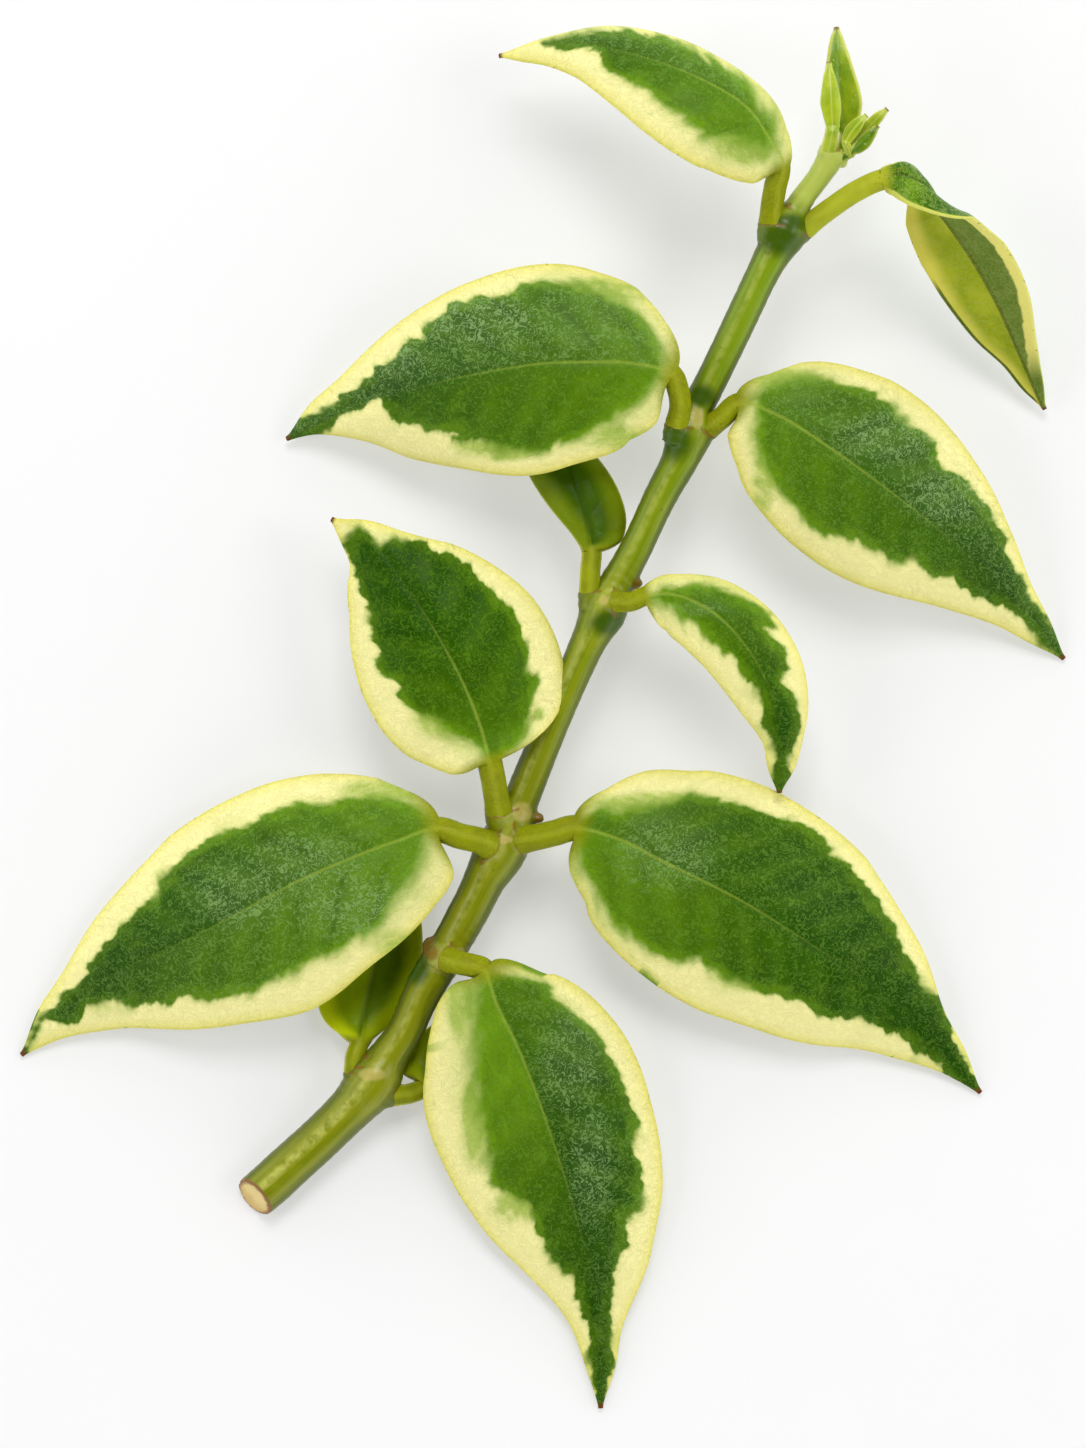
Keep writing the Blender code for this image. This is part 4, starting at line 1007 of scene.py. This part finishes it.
def variegated_material(name):
    """Fleshy leaf skin. The green ends at a ragged line given by the points' distance to it, drawn out
    along the side veins, with a paler band before it. It is darker towards the tip, with painted shade in
    the veins' grooves and a painted highlight between them. Cream outside, yellower at the margin, with
    brown specks on the rim and a brown tip. Fine winding ridges all over, lighter green, and whitish
    with painted sheen on parts of some blades."""
    net = LeafNet(name)
    stretched = net.vector((net.s - net.far * 0.8) * 0.36, net.x * 0.2, net.stalk * 0.4)
    ragged = net.noise(stretched, 1.0, 2.0, 0.45)
    teeth = net.noise(net.at, 1000.0, 3.0, 0.6)
    line = net.inside + (ragged - 0.5) * 2.8 + (teeth - 0.5) * 0.6
    soft = 0.2 + net.pale * net.pale * 2.2 + net.drift.step(0.5, 0.75) * 0.7 + net.wash * 0.6
    green = (line / soft).step(-1.0, 1.0)
    streak_place = net.vector((net.s - net.far * 0.55) * 0.22, net.x * 0.7, net.stalk * 0.3)
    streaks = net.noise(streak_place, 1.0, 3.0, 0.6)
    band = (net.inside + (streaks - 0.5) * 3.5 + (teeth - 0.5) * 1.5).step(1.7, 0.0)
    vein_place = (net.s - net.far * 0.8 + (net.drift - 0.5) * 3.0) / 5.6 + net.x.step(-0.1, 0.1) * 0.45
    from_vein = (vein_place.math("FRACT") - 0.5).size()
    blade = net.far.step(0.8, 2.2) * net.inside.step(0.0, 1.5)
    # Lighter in the paler band, where pale and in streaks, with a painted highlight between the side veins
    lightness = (band * 0.55 + net.pale * (0.75 + streaks * 0.5) + streaks.step(0.55, 0.8) * 0.25
                 + from_vein.step(0.12, 0.5) * blade * 0.14).at_most(1.0)
    pits = net.noise(net.at, 2300.0, 1.0).step(0.5, 0.7)
    # Painted shade in the side veins' grooves, stronger where the painted sheen lies
    groove = from_vein.step(0.12, 0.0) * blade * (0.08 + net.bloom * 0.4)
    tip_shade = net.stalk.step(0.4, 0.85)
    fresh = net.layers(
        DEEP_GREEN,
        (net.drift.step(-0.4, 1.4), MID_GREEN),
        (lightness, LIGHT_GREEN),
        (pits * 0.15 + groove.at_most(0.3), DEEP_GREEN),
        (tip_shade * 0.35, DEEP_GREEN),
        # Lighter fine ridges, partly the skin's own texture and partly painted sheen, which also whitens them
        # where it lies
        (net.worm * (0.36 - tip_shade * 0.1 + net.bloom * 0.3), rgb(104, 150, 26)),
        (net.bloom * (0.05 + net.worm * 0.26), PAINTED_SHEEN_TINT),
    )
    halo = (line / (soft * 3.0)).step(-1.0, 0.3)
    cast = streaks.step(0.6, 0.72) * (net.pale + 0.12).at_most(0.6)
    wash = net.wash * (streaks.step(0.35, 0.6) * 0.4 + teeth * 0.55)
    cream = net.layers(
        CREAM,
        (net.edge.step(2.2, 0.3), RICH_CREAM),
        (net.worm * 0.16, rgb(220, 210, 128)),
        (net.edge.step(0.7, 0.1) * 0.7, YELLOW_EDGE),
        ((halo * 0.55 + cast * 0.5 + wash).at_most(0.85), PALE_GREEN),
    )
    rib = (net.far + net.stalk * 0.25 + teeth * 0.15).step(0.45, 0.1) * net.stalk.step(0.8, 0.15)
    colour = net.layers(cream, (green, fresh), (rib * net.top * 0.65, MIDRIB_PALE))
    colour = net.stalk_skin(colour, STALK_GREEN, rgb(124, 128, 16))
    colour = net.mix((1.0 - net.top) * 0.35, colour, rgb(150, 156, 30))
    return net.skin(net.rim_specks(colour), 1.0, 0.3 + net.drift * 0.06 + (1.0 - green) * 0.05)


def plain_material(name):
    """Dark olive leaf skin without cream, lighter where it is pale and towards the margin, with painted shade
    along the midrib's groove.
    """
    net = LeafNet(name)
    patches = net.noise(net.at, 240.0, 3.0)
    dark = net.mix(patches.step(0.35, 0.65), rgb(54, 84, 1), rgb(66, 98, 3))
    olive = net.mix(patches.step(0.3, 0.7), rgb(118, 142, 4), rgb(140, 158, 8))
    margin = (net.edge + (patches - 0.5) * 1.6).step(3.4, 1.2)
    # Painted shade along the midrib's groove on the upper face
    groove = (net.far + net.stalk * 0.2).step(0.8, 0.1) * net.top
    colour = net.layers(dark, (net.pale, olive), (margin * (0.25 + net.pale * 0.75), rgb(184, 198, 12)),
                        (groove * 0.4, rgb(48, 74, 2)))
    colour = net.stalk_skin(colour, STALK_GREEN, rgb(110, 120, 10))
    colour = net.mix(net.edge.step(0.35, 0.1) * 0.4, colour, YELLOW_EDGE)
    return net.skin(net.rim_specks(colour), 0.3, 0.24 + net.drift * 0.06)


def hanging_material(name):
    """The leaf that hangs over: green above with a cream rim and painted shade along the midrib. Its
    underside is pale yellow-green with a creamy margin on the left, painted as the lit half, and darker
    grey-green with a cream band on the right, painted as the half in shade, and has a dark midrib."""
    net = LeafNet(name)
    blotch = net.noise(net.at, 300.0, 3.0, 0.6)
    edge = net.edge + (blotch - 0.5) * 1.6
    above = net.layers(
        MID_GREEN,
        (net.drift.step(0.3, 0.7), LIGHT_GREEN),
        (net.worm * 0.3, rgb(150, 180, 50)),
        (net.edge.step(0.5, 0.3) * 0.8, rgb(214, 214, 100)),
        # Painted shade along the midrib's groove on the upper face
        (net.far.step(0.4, 0.1) * 0.6, DEEP_GREEN),
    )
    patch = (edge + net.stalk.step(0.35, 0.6) * 0.8).step(3.0, 1.0)
    rim = net.edge.step(0.55, 0.4) * net.stalk.step(0.42, 0.5) * net.stalk.step(0.99, 0.95)
    # The underside's left half, painted paler as the lit half
    left = net.layers(
        rgb(142, 158, 18),
        (blotch.step(0.35, 0.65), rgb(164, 174, 34)),
        (patch * net.stalk.step(0.0, 0.1), rgb(216, 208, 84)),
        (rim, rgb(84, 104, 20)),
    )
    # The underside's right half, painted darker grey-green as the half in shade
    right = net.layers(
        rgb(92, 116, 34),
        (blotch.step(0.35, 0.65), rgb(106, 128, 48)),
        (edge.step(1.7, 1.3) * net.stalk.step(0.9, 0.75), rgb(228, 220, 120)),
    )
    midrib = (net.far + net.stalk * 0.1).step(0.42, 0.24)
    below = net.layers(right, (net.x.step(-0.15, 0.15), left), (midrib * 0.85, rgb(84, 98, 22)))
    colour = net.layers(below, (net.top, above), (net.worm * 0.15, rgb(190, 194, 120)))
    colour = net.stalk_skin(colour, rgb(170, 178, 40), rgb(150, 154, 30))
    freckle = net.noise(net.at, 1300.0, 2.0, 0.7).step(0.6, 0.68)
    base = net.stalk.step(0.1, 0.02) * net.stalk.step(-0.12, 0.0)
    colour = net.mix(freckle * base * 0.7, colour, rgb(112, 84, 20))
    return net.skin(net.rim_specks(colour), 0.4, 0.26 + net.drift * 0.08)


def young_material(name):
    """Skin of the youngest leaves and the side shoot: bright yellow-green with a painted highlight along
    the midrib where it is pale, otherwise darker with pale dots and painted shade along the midrib. Pale
    margins and brownish tips."""
    net = LeafNet(name)
    patches = net.noise(net.at, 420.0, 3.0)
    dark = net.mix(patches.step(0.3, 0.7), rgb(84, 124, 8), rgb(112, 150, 14))
    bright = net.mix(patches.step(0.3, 0.7), rgb(140, 170, 10), rgb(180, 196, 30))
    dots = net.noise(net.at, 2400.0, 1.0).step(0.66, 0.72) * (1.0 - net.pale)
    colour = net.layers(
        dark,
        (net.pale, bright),
        (dots * 0.8, rgb(206, 218, 140)),
        (net.edge.step(0.4, 0.1) * 0.6, rgb(220, 218, 110)),
        # A painted highlight along the midrib of the pale leaves
        (net.far.step(0.14, 0.02) * 0.5 * net.top * net.pale, rgb(216, 222, 120)),
        # Painted shade along the midrib's groove of the darker leaves
        (net.far.step(0.2, 0.05) * 0.5 * net.top * (1.0 - net.pale), rgb(70, 104, 4)),
        ((net.stalk + (patches - 0.5) * 0.06).step(0.96, 1.0) * 0.8, TIP_BROWN),
    )
    normal = net.bump(net.noise(net.at, 2600.0, 2.0, 0.6, 0.8), 0.00005, 0.5)
    return net.finish(colour, 0.28 + patches * 0.1, normal, Specular_IOR_Level=0.4)


def stem_material(name):
    """Smooth olive stem skin with lengthwise streaks, painted shade at the sides and, browner, below, and a
    broken painted glint along the top. Yellowish nodes with dark green heads and painted shade at some,
    pale scars with one painted sheen, and brown rings at the joints. It turns pale where the young shoot
    begins, and the cut end has a golden pith with a brown rim."""
    net = Net(name)
    at = net.place()
    run, sideways, upward = net.values("run")
    brown, node, pale = net.values("marks")
    from_cut, reach, dark = net.values("cut")
    streaks = net.noise(net.vector(run * 0.06, sideways * 1.3, upward * 1.3), 1.0, 4.0, 0.65)
    blotch = net.noise(at, 260.0, 3.0)
    ragged = net.noise(at, 1400.0, 2.0)
    round_side = sideways / reach.at_least(0.5)
    creased = net.noise(net.vector(run * 0.9, sideways * 0.9, upward * 0.9), 1.0, 3.0)
    # A broken painted glint along the top of the stem, stronger near the cut
    painted_glint = ((round_side - 0.2).size() + (streaks - 0.5) * 0.3).step(0.34, 0.05) * upward.step(0.2, 1.0)
    painted_glint = painted_glint * creased.step(0.2, 0.7) * (0.32 + run.step(32.0, 12.0) * 0.35)
    golden = net.mix(blotch.step(0.3, 0.7), rgb(220, 198, 122), rgb(196, 164, 84))
    pith = net.mix((reach + (ragged - 0.5) * 0.8).step(1.9, 2.5), golden, rgb(132, 90, 34))
    colour = net.layers(
        rgb(132, 138, 8),
        (run.step(40.0, 140.0), rgb(122, 150, 14)),
        (streaks.step(0.42, 0.66) * 0.5, rgb(92, 114, 2)),
        (blotch.step(0.55, 0.75) * 0.2, rgb(166, 170, 40)),
        (node * 0.35, rgb(158, 160, 20)),
        # Painted shade at the stem's sides
        ((round_side.size() + streaks * 0.3).step(0.7, 1.05) * 0.75, rgb(70, 84, 2)),
        (painted_glint, rgb(208, 208, 104)),
        # Dark green node heads and painted shade beside them
        (dark * 0.95, rgb(56, 86, 1)),
        # Painted shade, browner, on the stem's underside
        ((upward + (blotch - 0.5) * 0.8).step(0.0, -1.6) * 0.5, rgb(104, 92, 16)),
        (run.step(SHOOT_START, SHOOT_START + 3) * 0.8, rgb(198, 212, 98)),
        # Pale scars, and one painted sheen
        ((pale * (0.6 + ragged)).step(0.2, 0.9) * 0.55, rgb(200, 180, 104)),
        ((brown * (0.7 + ragged * 0.6)).step(0.2, 0.9) * 0.65, rgb(126, 82, 26)),
        (net.noise(at, 900.0, 2.0).step(0.7, 0.76) * 0.4, rgb(96, 84, 20)),
        ((from_cut + (ragged - 0.5) * 0.2).step(0.3, 0.15), pith),
    )
    normal = net.bump(net.noise(net.vector(run * 1.2, sideways * 0.8, upward * 0.8), 2.2, 2.0), 0.00004, 0.3)
    normal = net.bump(ragged, 0.00002, 0.4, normal)
    return net.finish(colour, 0.26 + blotch * 0.08, normal, Specular_IOR_Level=0.3)


def floor_material():
    """A pale grey sheet with a faint grain, which glows a little by itself: painted light that lifts the
    shadows on it.
    """
    net = Net("pale_floor")
    grain = net.noise(net.place(), 60.0, 2.0)
    colour = net.mix(grain, (0.54, 0.54, 0.54, 1), (0.56, 0.56, 0.56, 1))
    normal = net.bump(grain, 0.0001, 0.1)
    return net.finish(colour, 0.8, normal, Specular_IOR_Level=0.2, Emission_Color=(1, 1, 1, 1),
                      Emission_Strength=FLOOR_GLOW)


variegated = variegated_material("variegated_leaf_skin")
plain = plain_material("plain_leaf_skin")
hanging = hanging_material("hanging_leaf_skin")
young = young_material("young_leaf_skin")
stem_skin = stem_material("stem_skin_fine")

# Rings along each kind of blade, and points round its upper and lower face
variegated_rings = 170
plain_rings = 130
young_rings = 60
leaflet_rings = 40
wide_ring = ring_angles(72, 26)
young_ring = ring_angles(28, 20)
leaflet_ring = ring_angles(20, 14)

for number, (name, leaf) in enumerate(LEAVES.items()):
    relief = blade_relief(LEAF_SEED + number)
    if name in YOUNG_LEAVES:
        piece = make_leaf(name, leaf, young, young_rings, young_ring, relief)
    elif name in PLAIN_LEAVES:
        piece = make_leaf(name, leaf, plain, plain_rings, wide_ring, relief)
    else:
        skin = hanging if name == "leaf_6_right" else variegated
        piece = make_leaf(name, leaf, skin, variegated_rings, wide_ring, relief)
    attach(piece, "root")
    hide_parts(name)

parts = [make_leaf(name, leaf, young, leaflet_rings, leaflet_ring, blade_relief(LEAFLET_SEED + number))
         for number, (name, leaf) in enumerate(SIDE_LEAFLETS.items())]
with bpy.context.temp_override(active_object=parts[0], selected_editable_objects=parts):
    bpy.ops.object.join()
shoot = parts[0]
shoot.name = "side_shoot_fine"
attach(shoot, "root")
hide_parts("side_shoot")

stem = make_stem(stem_skin)
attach(stem, "root")
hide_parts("stem")

floor_mesh = bpy.data.meshes.new("floor")
corners = [(x * FLOOR_REACH, y * FLOOR_REACH, 0) for x, y in ((-1, -1), (1, -1), (1, 1), (-1, 1))]
floor_mesh.from_pydata(corners, [], [(0, 1, 2, 3)])
floor_mesh.materials.append(floor_material())
floor = linked("floor", floor_mesh)
floor.location.z = -FLOOR_DROP

for name, (place, size, power) in LAMPS.items():
    lamp = bpy.data.lights.new(name, "AREA")
    lamp.shape = "SQUARE"
    lamp.size = size
    lamp.energy = power
    holder = linked(name, lamp)
    holder.location = place
    holder.rotation_euler = (-Vector(place)).to_track_quat("-Z", "Y").to_euler()

scene = bpy.context.scene
world = bpy.data.worlds.new("studio")
scene.world = world
world.use_nodes = True
tree = world.node_tree
background = tree.nodes["Background"]
background.inputs["Color"].default_value = (1, 1, 1, 1)
direction = tree.nodes.new("ShaderNodeTexCoord")
split = tree.nodes.new("ShaderNodeSeparateXYZ")
glow = tree.nodes.new("ShaderNodeMapRange")
glow.interpolation_type = "SMOOTHSTEP"
glow.inputs["From Min"].default_value = DARK_ABOVE
glow.inputs["From Max"].default_value = BRIGHT_BELOW
glow.inputs["To Min"].default_value = OVERHEAD_GLOW
glow.inputs["To Max"].default_value = SIDE_GLOW
tree.links.new(direction.outputs["Generated"], split.inputs[0])
tree.links.new(split.outputs["Z"], glow.inputs["Value"])
tree.links.new(glow.outputs["Result"], background.inputs["Strength"])

scene.view_settings.view_transform = "Standard"
camera_data = bpy.data.cameras.new("camera")
camera_data.lens = LENS
camera_data.sensor_fit = "VERTICAL"
camera_data.sensor_height = SENSOR
camera_data.clip_start = 0.01
camera = linked("camera", camera_data)
camera.location = (shift[0] * MM, shift[1] * MM, CAMERA_HEIGHT)
scene.camera = camera
